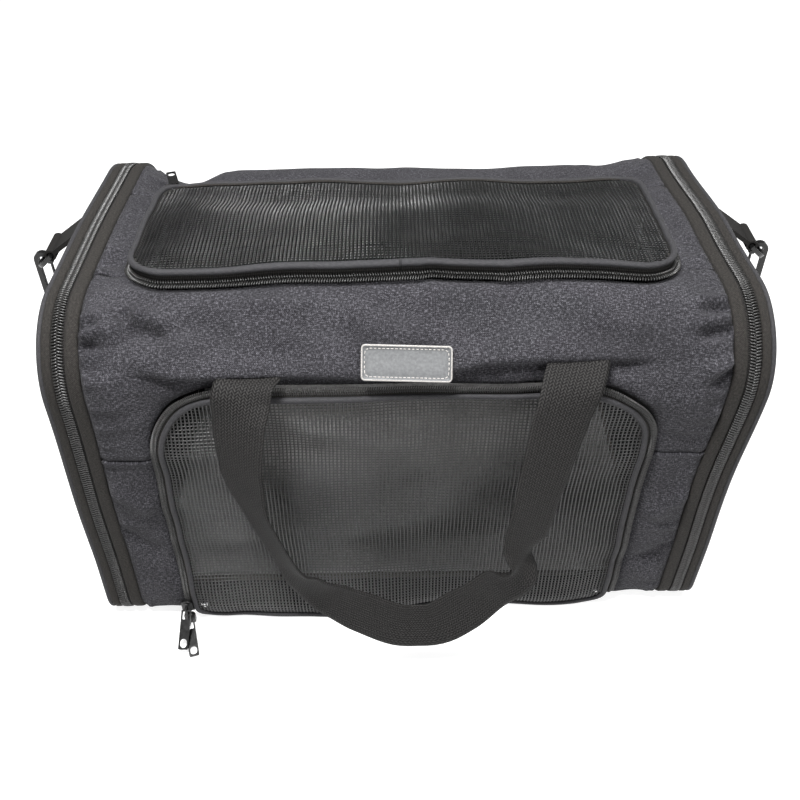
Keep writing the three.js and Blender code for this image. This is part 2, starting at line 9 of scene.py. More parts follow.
import bmesh
import bpy
from mathutils import Matrix, Vector, noise
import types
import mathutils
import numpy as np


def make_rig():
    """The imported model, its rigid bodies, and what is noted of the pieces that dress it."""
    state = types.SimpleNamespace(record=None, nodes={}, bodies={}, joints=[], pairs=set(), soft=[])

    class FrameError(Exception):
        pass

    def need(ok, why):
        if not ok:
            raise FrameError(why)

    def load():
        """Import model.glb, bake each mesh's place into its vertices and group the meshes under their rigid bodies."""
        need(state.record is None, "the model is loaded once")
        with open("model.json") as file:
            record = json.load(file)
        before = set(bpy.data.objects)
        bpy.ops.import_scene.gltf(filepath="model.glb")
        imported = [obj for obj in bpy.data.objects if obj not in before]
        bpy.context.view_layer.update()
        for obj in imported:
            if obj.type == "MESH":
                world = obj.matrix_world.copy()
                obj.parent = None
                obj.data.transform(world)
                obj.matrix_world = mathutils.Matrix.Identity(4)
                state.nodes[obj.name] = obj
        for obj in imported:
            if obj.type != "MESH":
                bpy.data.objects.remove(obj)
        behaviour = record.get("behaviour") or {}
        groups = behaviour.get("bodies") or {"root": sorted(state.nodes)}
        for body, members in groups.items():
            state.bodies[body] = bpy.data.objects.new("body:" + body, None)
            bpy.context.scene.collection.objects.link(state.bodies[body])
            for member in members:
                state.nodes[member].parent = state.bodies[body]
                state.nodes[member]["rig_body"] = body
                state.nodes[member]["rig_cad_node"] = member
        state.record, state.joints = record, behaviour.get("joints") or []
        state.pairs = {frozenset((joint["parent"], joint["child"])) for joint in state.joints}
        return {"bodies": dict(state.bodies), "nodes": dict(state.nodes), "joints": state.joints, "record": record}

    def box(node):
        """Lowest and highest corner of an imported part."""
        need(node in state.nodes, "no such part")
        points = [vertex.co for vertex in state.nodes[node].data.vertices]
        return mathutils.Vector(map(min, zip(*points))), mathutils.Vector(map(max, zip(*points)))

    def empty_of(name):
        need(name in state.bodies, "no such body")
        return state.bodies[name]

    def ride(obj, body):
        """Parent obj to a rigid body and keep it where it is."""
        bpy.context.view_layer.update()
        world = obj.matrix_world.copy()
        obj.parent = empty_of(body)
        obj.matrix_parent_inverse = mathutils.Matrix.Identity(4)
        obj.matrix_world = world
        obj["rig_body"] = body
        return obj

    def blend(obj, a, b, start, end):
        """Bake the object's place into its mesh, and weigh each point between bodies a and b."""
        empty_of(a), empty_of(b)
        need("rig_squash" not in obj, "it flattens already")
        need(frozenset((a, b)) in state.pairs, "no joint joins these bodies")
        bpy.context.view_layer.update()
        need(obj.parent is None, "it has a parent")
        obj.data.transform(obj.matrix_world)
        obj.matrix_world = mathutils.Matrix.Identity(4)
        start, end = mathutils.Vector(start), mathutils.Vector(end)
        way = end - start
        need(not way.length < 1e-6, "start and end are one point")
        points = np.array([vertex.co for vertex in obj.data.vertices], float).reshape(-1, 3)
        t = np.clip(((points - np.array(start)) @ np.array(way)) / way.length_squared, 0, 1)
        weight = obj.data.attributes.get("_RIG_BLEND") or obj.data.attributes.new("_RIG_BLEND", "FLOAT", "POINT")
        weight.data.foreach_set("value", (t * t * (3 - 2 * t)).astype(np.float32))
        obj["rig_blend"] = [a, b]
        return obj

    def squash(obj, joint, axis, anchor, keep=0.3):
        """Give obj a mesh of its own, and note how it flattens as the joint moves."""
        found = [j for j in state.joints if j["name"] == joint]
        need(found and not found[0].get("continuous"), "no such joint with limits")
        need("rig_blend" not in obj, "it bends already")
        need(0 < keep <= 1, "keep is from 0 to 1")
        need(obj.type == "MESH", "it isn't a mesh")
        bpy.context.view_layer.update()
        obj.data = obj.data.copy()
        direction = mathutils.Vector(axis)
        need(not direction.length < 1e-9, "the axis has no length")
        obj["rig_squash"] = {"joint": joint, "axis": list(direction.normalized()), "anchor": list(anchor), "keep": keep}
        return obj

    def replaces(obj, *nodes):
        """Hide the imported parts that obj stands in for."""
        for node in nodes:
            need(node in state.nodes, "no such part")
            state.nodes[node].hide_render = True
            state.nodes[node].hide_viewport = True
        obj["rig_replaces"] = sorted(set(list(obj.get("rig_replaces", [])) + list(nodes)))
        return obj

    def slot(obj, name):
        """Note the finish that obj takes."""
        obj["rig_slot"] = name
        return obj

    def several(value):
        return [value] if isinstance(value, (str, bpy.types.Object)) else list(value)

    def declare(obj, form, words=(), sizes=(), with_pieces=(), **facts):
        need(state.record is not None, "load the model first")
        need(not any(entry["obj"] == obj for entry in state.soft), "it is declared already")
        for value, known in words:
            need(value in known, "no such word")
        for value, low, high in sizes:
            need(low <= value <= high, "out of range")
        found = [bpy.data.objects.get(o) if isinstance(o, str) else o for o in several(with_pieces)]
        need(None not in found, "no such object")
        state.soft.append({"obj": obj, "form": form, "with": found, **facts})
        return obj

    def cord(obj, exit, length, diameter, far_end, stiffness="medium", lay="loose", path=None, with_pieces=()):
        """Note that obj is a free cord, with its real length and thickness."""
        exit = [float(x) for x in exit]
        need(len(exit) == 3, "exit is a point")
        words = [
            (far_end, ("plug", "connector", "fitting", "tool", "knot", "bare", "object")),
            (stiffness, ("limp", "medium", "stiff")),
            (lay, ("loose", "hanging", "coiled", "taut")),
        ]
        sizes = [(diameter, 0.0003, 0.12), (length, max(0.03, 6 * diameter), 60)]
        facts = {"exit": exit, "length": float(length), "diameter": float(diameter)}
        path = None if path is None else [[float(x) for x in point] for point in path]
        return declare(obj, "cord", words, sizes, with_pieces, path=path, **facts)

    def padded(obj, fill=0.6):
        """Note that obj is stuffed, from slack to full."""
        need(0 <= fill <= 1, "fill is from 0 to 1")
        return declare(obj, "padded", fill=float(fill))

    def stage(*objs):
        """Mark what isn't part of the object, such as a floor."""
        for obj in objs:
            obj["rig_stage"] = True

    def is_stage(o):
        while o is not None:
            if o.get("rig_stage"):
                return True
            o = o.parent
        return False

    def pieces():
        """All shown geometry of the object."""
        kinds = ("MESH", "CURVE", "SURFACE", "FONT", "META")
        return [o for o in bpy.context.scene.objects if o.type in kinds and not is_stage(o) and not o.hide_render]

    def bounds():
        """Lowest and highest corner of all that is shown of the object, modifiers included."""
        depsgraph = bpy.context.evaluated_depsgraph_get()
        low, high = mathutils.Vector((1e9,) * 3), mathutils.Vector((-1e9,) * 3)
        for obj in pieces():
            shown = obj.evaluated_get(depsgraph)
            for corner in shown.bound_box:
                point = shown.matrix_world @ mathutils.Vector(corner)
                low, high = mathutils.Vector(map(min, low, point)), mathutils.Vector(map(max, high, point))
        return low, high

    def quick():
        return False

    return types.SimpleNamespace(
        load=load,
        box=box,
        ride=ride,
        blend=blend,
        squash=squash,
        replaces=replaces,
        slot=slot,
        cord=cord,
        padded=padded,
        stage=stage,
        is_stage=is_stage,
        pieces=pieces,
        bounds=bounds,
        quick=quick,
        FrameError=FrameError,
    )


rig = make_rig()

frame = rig.load()
cad_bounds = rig.bounds()

MM = 0.001
SIDES = (("left", -1), ("right", 1))

# ---- the bag's cross-section, from the frame ----

BODY_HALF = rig.box("top_back_panel")[1].x  # half the length of the fabric body
HALF_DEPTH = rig.box("top_back_panel")[1].y
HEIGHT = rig.box("top_back_panel")[1].z
TOP_RADIUS = 55 * MM
BASE_RADIUS = 22 * MM
SKIN = 4 * MM
TOP_FLAT = HALF_DEPTH - TOP_RADIUS
BASE_FLAT = HALF_DEPTH - BASE_RADIUS
CORNER_Z = HEIGHT - TOP_RADIUS

# distances round the section, from the middle of the underside forwards and up the front
BASE_TURN = BASE_FLAT + BASE_RADIUS * math.pi / 2
FRONT_TOP = BASE_TURN + CORNER_Z - BASE_RADIUS
TOP_START = FRONT_TOP + TOP_RADIUS * math.pi / 2
AROUND = 2 * (TOP_START + TOP_FLAT)

SEAM_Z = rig.box("back_panel")[1].z
TOP_SEAM_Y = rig.box("top_left_panel")[0].y
DOOR_BACK_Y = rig.box("top_left_panel")[1].y


def section(s):
    """Point and outward normal (y, z, ny, nz) of the section at distance s round it."""
    s %= AROUND
    if s > AROUND / 2:
        y, z, ny, nz = section(AROUND - s)
        return -y, z, -ny, nz
    if s < BASE_FLAT:
        return -s, 0.0, 0.0, -1.0
    if s < BASE_TURN:
        a = (s - BASE_FLAT) / BASE_RADIUS
        ny, nz = -math.sin(a), -math.cos(a)
        return -BASE_FLAT + BASE_RADIUS * ny, BASE_RADIUS + BASE_RADIUS * nz, ny, nz
    if s < FRONT_TOP:
        return -HALF_DEPTH, BASE_RADIUS + s - BASE_TURN, -1.0, 0.0
    if s < TOP_START:
        a = (s - FRONT_TOP) / TOP_RADIUS
        ny, nz = -math.cos(a), math.sin(a)
        return -TOP_FLAT + TOP_RADIUS * ny, CORNER_Z + TOP_RADIUS * nz, ny, nz
    return -TOP_FLAT + s - TOP_START, HEIGHT, 0.0, 1.0


def at_front(z):
    """Distance round the section of height z on the front."""
    if z < BASE_RADIUS:
        return BASE_FLAT + BASE_RADIUS * math.acos(1 - z / BASE_RADIUS)
    if z > CORNER_Z:
        return FRONT_TOP + TOP_RADIUS * math.asin((z - CORNER_Z) / TOP_RADIUS)
    return BASE_TURN + z - BASE_RADIUS


def at_top(y):
    return TOP_START + TOP_FLAT + y


def at_back(z):
    return AROUND - at_front(z)


def ease(t):
    """Smooth step from 0 to 1."""
    t = min(max(t, 0.0), 1.0)
    return t * t * (3 - 2 * t)


def hump(t, middle, reach):
    """A smooth hill, 1 at the middle and 0 past its reach."""
    return ease(1 - abs(t - middle) / reach)


def ripple(x, s, size_x, size_s, seed):
    return noise.noise(Vector((x / size_x, s / size_s, seed)))


# ---- how the padded skin stands off its pattern shape ----


def end_gather(x, s):
    """Short folds that run in from the seams at the end bands, where the fabric is gathered."""
    edge = BODY_HALF - abs(x)
    fold = ripple(x, s, 0.09, 0.0105, 3 + math.copysign(4, x))
    fold += 0.5 * ripple(x, s, 0.05, 0.0055, 8)
    upper = 0.55 + 0.45 * hump(s, at_front(0.235), 0.11)
    return 5.6 * MM * upper * fold * ease(edge / 0.005) * math.exp(-edge / 0.018)


def top_bow(x, s):
    """The top swells up in the middle along the front of its door."""
    across = math.cos(min(abs(x) / 0.19, 1.0) * math.pi / 2)
    rise = ease((s - at_front(0.222)) / (TOP_START - at_front(0.222)))
    fall = 1 - 0.72 * ease((s - at_top(-0.086)) / (DOOR_BACK_Y + 0.086))
    away = 1 - ease((s - at_top(DOOR_BACK_Y)) / 0.12)
    return 8.5 * MM * across * rise * fall * away


def top_sag(x, s):
    """The corners of the top sink between the end hoops and the stiffer door."""
    back = ease((s - at_top(0.035)) / 0.04) * (1 - ease((s - at_back(0.225)) / 0.07))
    left = 10.5 * hump(x, -0.173, 0.036) + 3.5 * hump(x, -0.193, 0.03)
    right = 3.5 * hump(x, 0.182, 0.035)
    strip = hump(s, at_top(-0.02), 0.12) * hump(abs(x), 0.191, 0.02)
    return -MM * ((left + right) * back + 2.2 * strip)


def back_slump(x, s):
    """Between the hoops the back top edge has no stiffening, so it is rounder there."""
    between = ease((BODY_HALF - abs(x)) / 0.045)
    back = ease((s - at_top(-0.02)) / 0.10) * ease((at_back(0.16) - s) / 0.10)
    return -8.5 * MM * between * back


def front_belly(x, s):
    """The front's lower edge is pushed out by the floor pad, more on the left."""
    along = ease((0.185 - abs(x)) / 0.05) * (1 - 0.35 * ease((x + 0.05) / 0.12))
    low = hump(s, at_front(0.006), 0.050)
    return 6.5 * MM * along * low


def side_bulge(x, s):
    """The narrow front panels beside the door are padded, and pinched at the seam."""
    beside = hump(abs(x), 0.187, 0.022)
    lower = hump(s, at_front(0.085), 0.095)
    upper = hump(s, at_front(0.212), 0.047)
    return MM * beside * (2.2 * lower + 4.0 * upper)


def fold_line(x):
    """Distance round the section of the folded seam that the front handle is sewn into."""
    rise = 8.0 * ease((x - 0.005) / 0.06) - 1.5 * hump(x, 0.0, 0.05) + 3 * ease((-0.13 - x) / 0.04)
    return at_front(0.2345) + rise * MM


def handle_fold(x, s):
    """The upper cloth hangs over that seam, and the strip below it is sunk; it fades on the right."""
    along = ease((x + 0.178) / 0.03) * ease((0.166 - x) / 0.03)
    above = s - fold_line(x)
    over = ease((above + 0.6 * MM) / (1.6 * MM)) * (1 - ease(above / 0.02))
    under = (1 - ease((above + 0.6 * MM) / (1.6 * MM))) * ease((above + 0.016) / 0.012)
    return MM * along * (4.6 * over - 2.6 * under)


def front_creases(x, s):
    """Two slanting creases over the front top edge, and the fold under it on the left."""
    z = s - at_front(0.166)
    left = hump(z - 0.35 * (x + 0.204), 0.068, 0.011) * ease((-0.07 - x) / 0.08)
    right = hump(z + 0.25 * (x - 0.15), 0.05, 0.012) * ease((x - 0.09) / 0.07)
    slack = hump(z + 0.12 * x, 0.036, 0.02) * ease((0.2 - abs(x)) / 0.05)
    middle = hump(z + 0.3 * (x - 0.04), 0.085, 0.012) * hump(x, 0.03, 0.09)
    return MM * (1.6 * left + 1.2 * right - 1.5 * slack + 0.9 * middle)


# folds pressed into the front: start (x, z), end (x, z), half width, height; z goes on round the corner
FOLDS = (
    ((-0.206, 0.273), (-0.188, 0.277), 0.0042, 3.4), ((-0.206, 0.268), (-0.190, 0.270), 0.0030, -3.2),
    ((-0.206, 0.263), (-0.186, 0.267), 0.0042, 3.6), ((-0.206, 0.256), (-0.192, 0.256), 0.0036, -2.6),
    ((-0.190, 0.276), (-0.178, 0.262), 0.0100, 3.4), ((-0.176, 0.279), (-0.170, 0.262), 0.0052, -3.6),
    ((-0.172, 0.277), (-0.148, 0.269), 0.0062, 3.4), ((-0.168, 0.270), (-0.150, 0.261), 0.0060, -3.6),
    ((-0.141, 0.271), (-0.108, 0.262), 0.0100, -3.2), ((-0.100, 0.281), (-0.064, 0.279), 0.0048, 2.4),
    ((-0.062, 0.272), (-0.030, 0.262), 0.0110, -2.6), ((-0.012, 0.284), (0.004, 0.270), 0.0080, -3.4),
    ((0.014, 0.288), (0.060, 0.284), 0.0090, 2.2), ((0.060, 0.276), (0.105, 0.268), 0.0110, -2.2),
    ((0.118, 0.274), (0.150, 0.260), 0.0090, 2.2), ((0.206, 0.284), (0.182, 0.281), 0.0040, 3.0),
    ((0.206, 0.277), (0.186, 0.273), 0.0032, -3.0), ((0.206, 0.271), (0.180, 0.266), 0.0040, 3.0),
    ((0.206, 0.262), (0.184, 0.258), 0.0036, -2.8), ((0.206, 0.245), (0.188, 0.236), 0.0042, 3.2),
    ((0.206, 0.236), (0.192, 0.228), 0.0034, -2.6), ((-0.206, 0.316), (-0.190, 0.320), 0.0040, 2.0),
    ((-0.206, 0.330), (-0.190, 0.334), 0.0040, -1.8), ((-0.206, 0.346), (-0.190, 0.351), 0.0050, 1.8),
    ((0.206, 0.330), (0.190, 0.322), 0.0045, 1.5), ((0.206, 0.350), (0.190, 0.348), 0.0045, -1.3),
    ((-0.204, 0.140), (-0.176, 0.120), 0.0080, 2.2), ((-0.204, 0.095), (-0.178, 0.070), 0.0080, -2.0),
    ((0.204, 0.130), (0.178, 0.105), 0.0080, 2.2), ((0.204, 0.075), (0.180, 0.050), 0.0080, -1.8),
)


def pressed_folds(x, z):
    """Sum of the separate folds, each a rounded ridge or valley that fades at its ends."""
    total = 0.0
    for (x0, z0), (x1, z1), wide, height in FOLDS:
        if abs(x - (x0 + x1) / 2) > 0.05 or abs(z - (z0 + z1) / 2) > 0.05:
            continue
        dx, dz = x1 - x0, z1 - z0
        length = math.hypot(dx, dz)
        along = ((x - x0) * dx + (z - z0) * dz) / length
        aside = ((x - x0) * dz - (z - z0) * dx) / length
        fade = ease((along + 0.006) / 0.012) * ease((length + 0.006 - along) / 0.012)
        total += height * fade * math.exp(-(aside / wide) ** 2)
    return 1.9 * MM * total


def back_creases(x, s):
    """One crease on each side from the door's back corner to the back edge, and a soft back."""
    back = at_top(0.085)
    left = hump(x + 0.35 * (s - back), -0.128, 0.006) * hump(s, back, 0.045)
    right = hump(x - 0.4 * (s - back), 0.133, 0.008) * hump(s, back, 0.045)
    wall = ease((s - at_back(0.25)) / 0.05) * ease((at_back(0.02) - s) / 0.05)
    fill = math.cos(min(abs(x) / BODY_HALF, 1.0) * math.pi / 2)
    return MM * (-1.8 * left - 1.2 * right + 3.5 * wall * fill)


def puff(x, s):
    """How far the skin stands off its pattern shape at x and distance s round the section."""
    edge = BODY_HALF - abs(x)
    if edge <= 0:
        return 0.0
    s %= AROUND
    loose = 4.2 * MM * ripple(x, s, 0.075, 0.036, 1) + 0.9 * MM * ripple(x, s, 0.032, 0.016, 2)
    total = end_gather(x, s) + ease(edge / 0.02) * loose + back_slump(x, s)
    total += top_bow(x, s) + top_sag(x, s) + side_bulge(x, s)
    total += handle_fold(x, s) + front_creases(x, s) + back_creases(x, s)
    total += pressed_folds(x, s - at_front(0.1) + 0.1)
    off_floor = ease((s - BASE_FLAT + 0.01) / 0.03) * ease((AROUND - BASE_FLAT + 0.01 - s) / 0.03)
    return off_floor * total + front_belly(x, s)


def settle(point):
    """How the loaded bag has slumped: lower at the back, leaning right at the top, low left toe."""
    x, y, z = point
    high = z / HEIGHT
    drop = 7.0 * MM * ease((y + 0.03) / 0.15) * high
    towards_side = 2 * ease(x / 0.24 + 0.5) - 1
    lean = 3.5 * MM * ease((z - 0.10) / 0.12) - 2.0 * MM * (1 - ease(z / 0.08)) * towards_side
    flare = 4.0 * MM * ease((x - 0.12) / 0.09) * ease((-0.03 - y) / 0.08) * hump(z, 0.235, 0.10)
    back_in = 4.0 * MM * ease((x - 0.12) / 0.09) * ease((y + 0.02) / 0.10) * ease((z - 0.12) / 0.1)
    toe = 7.5 * MM * ease((0.10 - x) / 0.16) * ease((0.075 - z) / 0.075) * ease((-0.07 - y) / 0.06)
    return Vector((x + lean + flare - back_in, y - toe, z - drop))


def skin(x, s, out=0.0):
    """A point of the bag's padded skin, moved out along its normal."""
    y, z, ny, nz = section(s)
    lift = out + puff(x, s)
    point = settle((x, y + ny * lift, z + nz * lift))
    point.z = max(point.z, 0.3 * MM)
    return point


def skin_axes(s):
    """The ways of growing s and of the outward normal at distance s round the section."""
    _, _, ny, nz = section(s)
    return Vector((0, nz, -ny)), Vector((0, ny, nz))


# ---- mesh helpers ----


def new_object(name, verts, faces, uvs=None, smooth=True):
    """A mesh object; uvs are one pair per vertex, in metres along the cloth."""
    mesh = bpy.data.meshes.new(name)
    mesh.from_pydata([tuple(v) for v in verts], [], faces)
    mesh.polygons.foreach_set("use_smooth", [smooth] * len(mesh.polygons))
    if uvs is not None:
        layer = mesh.uv_layers.new(name="weave")
        flat = []
        for loop in mesh.loops:
            flat.extend(uvs[loop.vertex_index])
        layer.data.foreach_set("uv", flat)
    mesh.update()
    obj = bpy.data.objects.new(name, mesh)
    bpy.context.scene.collection.objects.link(obj)
    return obj


def thicken(sheet, thickness, lined=False):
    """Give a sheet its thickness, inwards; a lined one has its second material on the inside."""
    solid = sheet.modifiers.new("thickness", "SOLIDIFY")
    solid.thickness = thickness
    solid.material_offset = 1 if lined else 0


def finish_piece(obj, body, nodes, slot, *materials):
    for material in materials:
        obj.data.materials.append(material)
    if body:
        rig.ride(obj, body)
    if nodes:
        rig.replaces(obj, *nodes)
    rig.slot(obj, slot)
    return obj


def strip_faces(rows, width, close_rows=False, close_width=False, first=0):
    """Quads over a grid of rows of width points each, from vertex number first on."""
    faces = []
    for i in range(rows if close_rows else rows - 1):
        for j in range(width if close_width else width - 1):
            a, b = i * width + j, i * width + (j + 1) % width
            c, d = (i + 1) % rows * width + (j + 1) % width, (i + 1) % rows * width + j
            faces.append((first + a, first + b, first + c, first + d))
    return faces


def rounded_gap(x, s, half, low, high, r_low, r_high):
    """Signed distance outside a rounded rectangle, negative inside it."""
    middle = (low + high) / 2
    r = r_high if s > middle else r_low
    across = abs(x) - half + r
    along = abs(s - middle) - (high - low) / 2 + r
    return min(max(across, along), 0.0) + math.hypot(max(across, 0), max(along, 0)) - r


def slope(gap, x, s):
    """Way in which a gap grows fastest."""
    h = 0.1 * MM
    gx = (gap(x + h, s) - gap(x - h, s)) / (2 * h)
    gs = (gap(x, s + h) - gap(x, s - h)) / (2 * h)
    size = math.hypot(gx, gs) or 1.0
    return gx / size, gs / size


def fitted_grid(x0, x1, s0, s1, cell, gaps=()):
    """Flat grid points and faces outside every gap function, with its rim moved onto them."""
    nx, ns = max(2, round((x1 - x0) / cell)), max(2, round((s1 - s0) / cell))
    points = []
    for j in range(ns + 1):
        for i in range(nx + 1):
            points.append([x0 + (x1 - x0) * i / nx, s0 + (s1 - s0) * j / ns])
    faces, dropped = [], set()
    for face in strip_faces(ns + 1, nx + 1):
        mx = sum(points[k][0] for k in face) / 4
        ms = sum(points[k][1] for k in face) / 4
        if all(gap(mx, ms) > 0 for gap in gaps):
            faces.append(face)
        else:
            dropped.update(face)
    used = sorted({k for face in faces for k in face})
    for k in used:
        for gap in gaps:
            x, s = points[k]
            away = gap(x, s)
            if k in dropped and abs(away) < 1.6 * cell:
                gx, gs = slope(gap, x, s)
                points[k] = [x - gx * away, s - gs * away]
    renumber = {k: n for n, k in enumerate(used)}
    return [points[k] for k in used], [tuple(renumber[k] for k in f) for f in faces]


def rounded_path(half, low, high, r_low, r_high, pitch):
    """A closed rounded rectangle from the middle of its low side, evenly spaced.

    Each point is (x, s, nx, ns), with the normal pointing inwards.
    """
    corners = (
        (half - r_low, low + r_low, r_low, -90),
        (half - r_high, high - r_high, r_high, 0),
        (r_high - half, high - r_high, r_high, 90),
        (r_low - half, low + r_low, r_low, 180),
    )
    dense = [(0.0, low)]
    for cx, cs, r, start in corners:
        for k in range(25):
            a = math.radians(start + 90 * k / 24)
            dense.append((cx + r * math.cos(a), cs + r * math.sin(a)))
    dense.append((0.0, low))
    return evenly(dense, pitch)


def evenly(dense, pitch):
    """Points at an even pitch along a flat polyline, each with its left-hand normal."""
    lengths = [0.0]
    for a, b in zip(dense, dense[1:]):
        lengths.append(lengths[-1] + math.dist(a, b))
    count = max(2, round(lengths[-1] / pitch))
    result, k = [], 0
    for n in range(count):
        target = lengths[-1] * n / count
        while lengths[k + 1] < target or lengths[k + 1] == lengths[k]:
            k += 1
        t = (target - lengths[k]) / (lengths[k + 1] - lengths[k])
        (ax, ay), (bx, by) = dense[k], dense[k + 1]
        size = math.dist(dense[k], dense[k + 1])
        normal = (-(by - ay) / size, (bx - ax) / size)
        result.append((ax + t * (bx - ax), ay + t * (by - ay), *normal))
    return result


def sweep(name, path, profile, material, solid=False, place=skin):
    """A profile of (across, out) pairs swept round a closed path on the skin."""
    verts, uvs, along = [], [], 0.0
    girth = [0.0]
    for a, b in zip(profile, profile[1:]):
        girth.append(girth[-1] + math.dist(a, b))
    for k, (x, s, nx, ns) in enumerate(path):
        if k:
            along += math.dist((x, s), path[k - 1][:2])
        for (across, out), v in zip(profile, girth):
            verts.append(place(x + nx * across, s + ns * across, out))
            uvs.append((along, v))
    swept = new_object(name, verts, strip_faces(len(path), len(profile), True, solid), uvs)
    swept.data.materials.append(material)
    return swept


def round_profile(across, out, radius, count=12):
    steps = [2 * math.pi * k / count for k in range(count)]
    return [(across + radius * math.cos(a), out + radius * math.sin(a)) for a in steps]


def band_profile(start, end, base, top, edge):
    """A padded band from start to end across, from base out to top, with rounded edges."""
    steps = 8
    points = [(start, base)]
    for k in range(steps + 1):
        t = k / steps
        rim = min(t, 1 - t) * abs(end - start)
        out = top - edge * (1 - ease(rim / (2 * edge)))
        points.append((start + t * (end - start), out))
    points.append((end, base))
    return points


def join_objects(name, objects):
    """One object from several, keeping their materials."""
    bpy.ops.object.select_all(action="DESELECT")
    for obj in objects:
        obj.select_set(True)
    bpy.context.view_layer.objects.active = objects[0]
    bpy.ops.object.join()
    objects[0].name = name
    objects[0].data.name = name
    return objects[0]


# ---- materials ----


class Look:
    """A material and the nodes it is built from."""

    def __init__(self, name, roughness, metallic=0.0, sheen=0.0, specular=0.5):
        self.material = bpy.data.materials.new(name)
        self.material.use_nodes = True
        self.tree = self.material.node_tree
        self.shader = self.tree.nodes["Principled BSDF"]
        self.shader.inputs["Roughness"].default_value = roughness
        self.shader.inputs["Metallic"].default_value = metallic
        self.shader.inputs["Sheen Weight"].default_value = sheen
        self.shader.inputs["Sheen Roughness"].default_value = 0.45
        self.shader.inputs["Specular IOR Level"].default_value = specular

    def node(self, kind, **settings):
        made = self.tree.nodes.new(kind)
        for key, value in settings.items():
            setattr(made, key, value)
        return made

    def wire(self, source, target):
        if isinstance(source, (int, float)):
            target.default_value = source
        else:
            self.tree.links.new(source, target)

    def math(self, operation, a, b=0.0):
        made = self.node("ShaderNodeMath", operation=operation)
        self.wire(a, made.inputs[0])
        self.wire(b, made.inputs[1])
        return made.outputs[0]

    def shares(self, a, share_a, b, share_b):
        """Two values added in shares."""
        return self.math("ADD", self.math("MULTIPLY", a, share_a), self.math("MULTIPLY", b, share_b))

    def cloth_uv(self, scale_u, scale_v):
        """The cloth's own coordinates, in metres times a scale each way."""
        pin = self.node("ShaderNodeUVMap", uv_map="weave")
        place = self.node("ShaderNodeMapping")
        place.inputs["Scale"].default_value = (scale_u, scale_v, 1.0)
        self.wire(pin.outputs["UV"], place.inputs["Vector"])
        return place.outputs["Vector"]

    def solid_place(self, scale):
        """Object coordinates, in metres times a scale."""
        pin = self.node("ShaderNodeTexCoord")
        place = self.node("ShaderNodeMapping")
        place.inputs["Scale"].default_value = (scale, scale, scale)
        self.wire(pin.outputs["Object"], place.inputs["Vector"])
        return place.outputs["Vector"]

    def noise(self, vector, detail=2.0, roughness=0.5):
        made = self.node("ShaderNodeTexNoise")
        made.inputs["Scale"].default_value = 1.0
        made.inputs["Detail"].default_value = detail
        made.inputs["Roughness"].default_value = roughness
        self.wire(vector, made.inputs["Vector"])
        return made.outputs["Fac"]

    def split(self, vector):
        made = self.node("ShaderNodeSeparateXYZ")
        self.wire(vector, made.inputs[0])
        return made.outputs[0], made.outputs[1]

    def rib(self, value, pitch):
        """A wave from 0 to 1 with that pitch, from a length in metres."""
        wave = self.math("SINE", self.math("MULTIPLY", value, 2 * math.pi / pitch))
        return self.math("MULTIPLY", self.math("ADD", wave, 1.0), 0.5)

    def ramp(self, value, *stops):
        made = self.node("ShaderNodeValToRGB")
        elements = made.color_ramp.elements
        while len(elements) < len(stops):
            elements.new(0.5)
        for element, (position, colour) in zip(elements, stops):
            element.position = position
            element.color = (*colour, 1.0)
        self.wire(value, made.inputs["Fac"])
        return made.outputs["Color"]

    def colour(self, source):
        self.wire(source, self.shader.inputs["Base Color"])
        return self

    def bump(self, height, distance):
        made = self.node("ShaderNodeBump")
        made.inputs["Strength"].default_value = 1.0
        made.inputs["Distance"].default_value = distance
        self.wire(height, made.inputs["Height"])
        self.wire(made.outputs["Normal"], self.shader.inputs["Normal"])
        return self

    def rough(self, value, low, high):
        made = self.node("ShaderNodeMapRange")
        made.inputs["To Min"].default_value = low
        made.inputs["To Max"].default_value = high
        self.wire(value, made.inputs["Value"])
        self.wire(made.outputs["Result"], self.shader.inputs["Roughness"])
        return self


def grey(level, warm=0.0):
    """A linear grey from an sRGB level of 0 to 255; warm above 0 adds red and takes blue away."""
    def linear(value):
        c = max(value, 0) / 255
        return c / 12.92 if c <= 0.04045 else ((c + 0.055) / 1.055) ** 2.4

    return linear(level + warm), linear(level), linear(level - warm)


def plain_weave(look, pitch):
    """Height of a plain weave, threads over and under at that pitch."""
    u, v = look.split(look.cloth_uv(1.0, 1.0))
    over = look.math("MULTIPLY", look.rib(u, 2 * pitch), look.rib(v, 2 * pitch))
    under = look.math("MULTIPLY", look.rib(look.math("ADD", u, pitch), 2 * pitch),
                      look.rib(look.math("ADD", v, pitch), 2 * pitch))
    return look.math("ADD", over, under)


def heather(look, fine):
    """Streaks of lighter and darker yarn both ways of the cloth, 0 to 1."""
    weft = look.noise(look.cloth_uv(380, 1 / fine), detail=2.0, roughness=0.75)
    warp = look.noise(look.cloth_uv(1 / fine, 480), detail=2.0, roughness=0.75)
    cloudy = look.noise(look.cloth_uv(30, 30), detail=3.0)
    mixed = look.shares(weft, 0.50, warp, 0.42)
    return look.math("ADD", mixed, look.math("MULTIPLY", cloudy, 0.08))


def body_fabric():
    look = Look("body_fabric", 0.88, sheen=0.03, specular=0.18)
    yarn = heather(look, 0.8 * MM)
    dark, middle, light = (0.0035, 0.0034, 0.0041), (0.0168, 0.0162, 0.0190), (0.100, 0.098, 0.109)
    look.colour(look.ramp(yarn, (0.34, dark), (0.5, middle), (0.68, light)))
    weave = plain_weave(look, 0.6 * MM)
    rough_cloth = look.noise(look.cloth_uv(650, 650), detail=3.0)
    return look.bump(look.math("ADD", weave, look.math("MULTIPLY", rough_cloth, 1.2)),
                     0.28 * MM).material


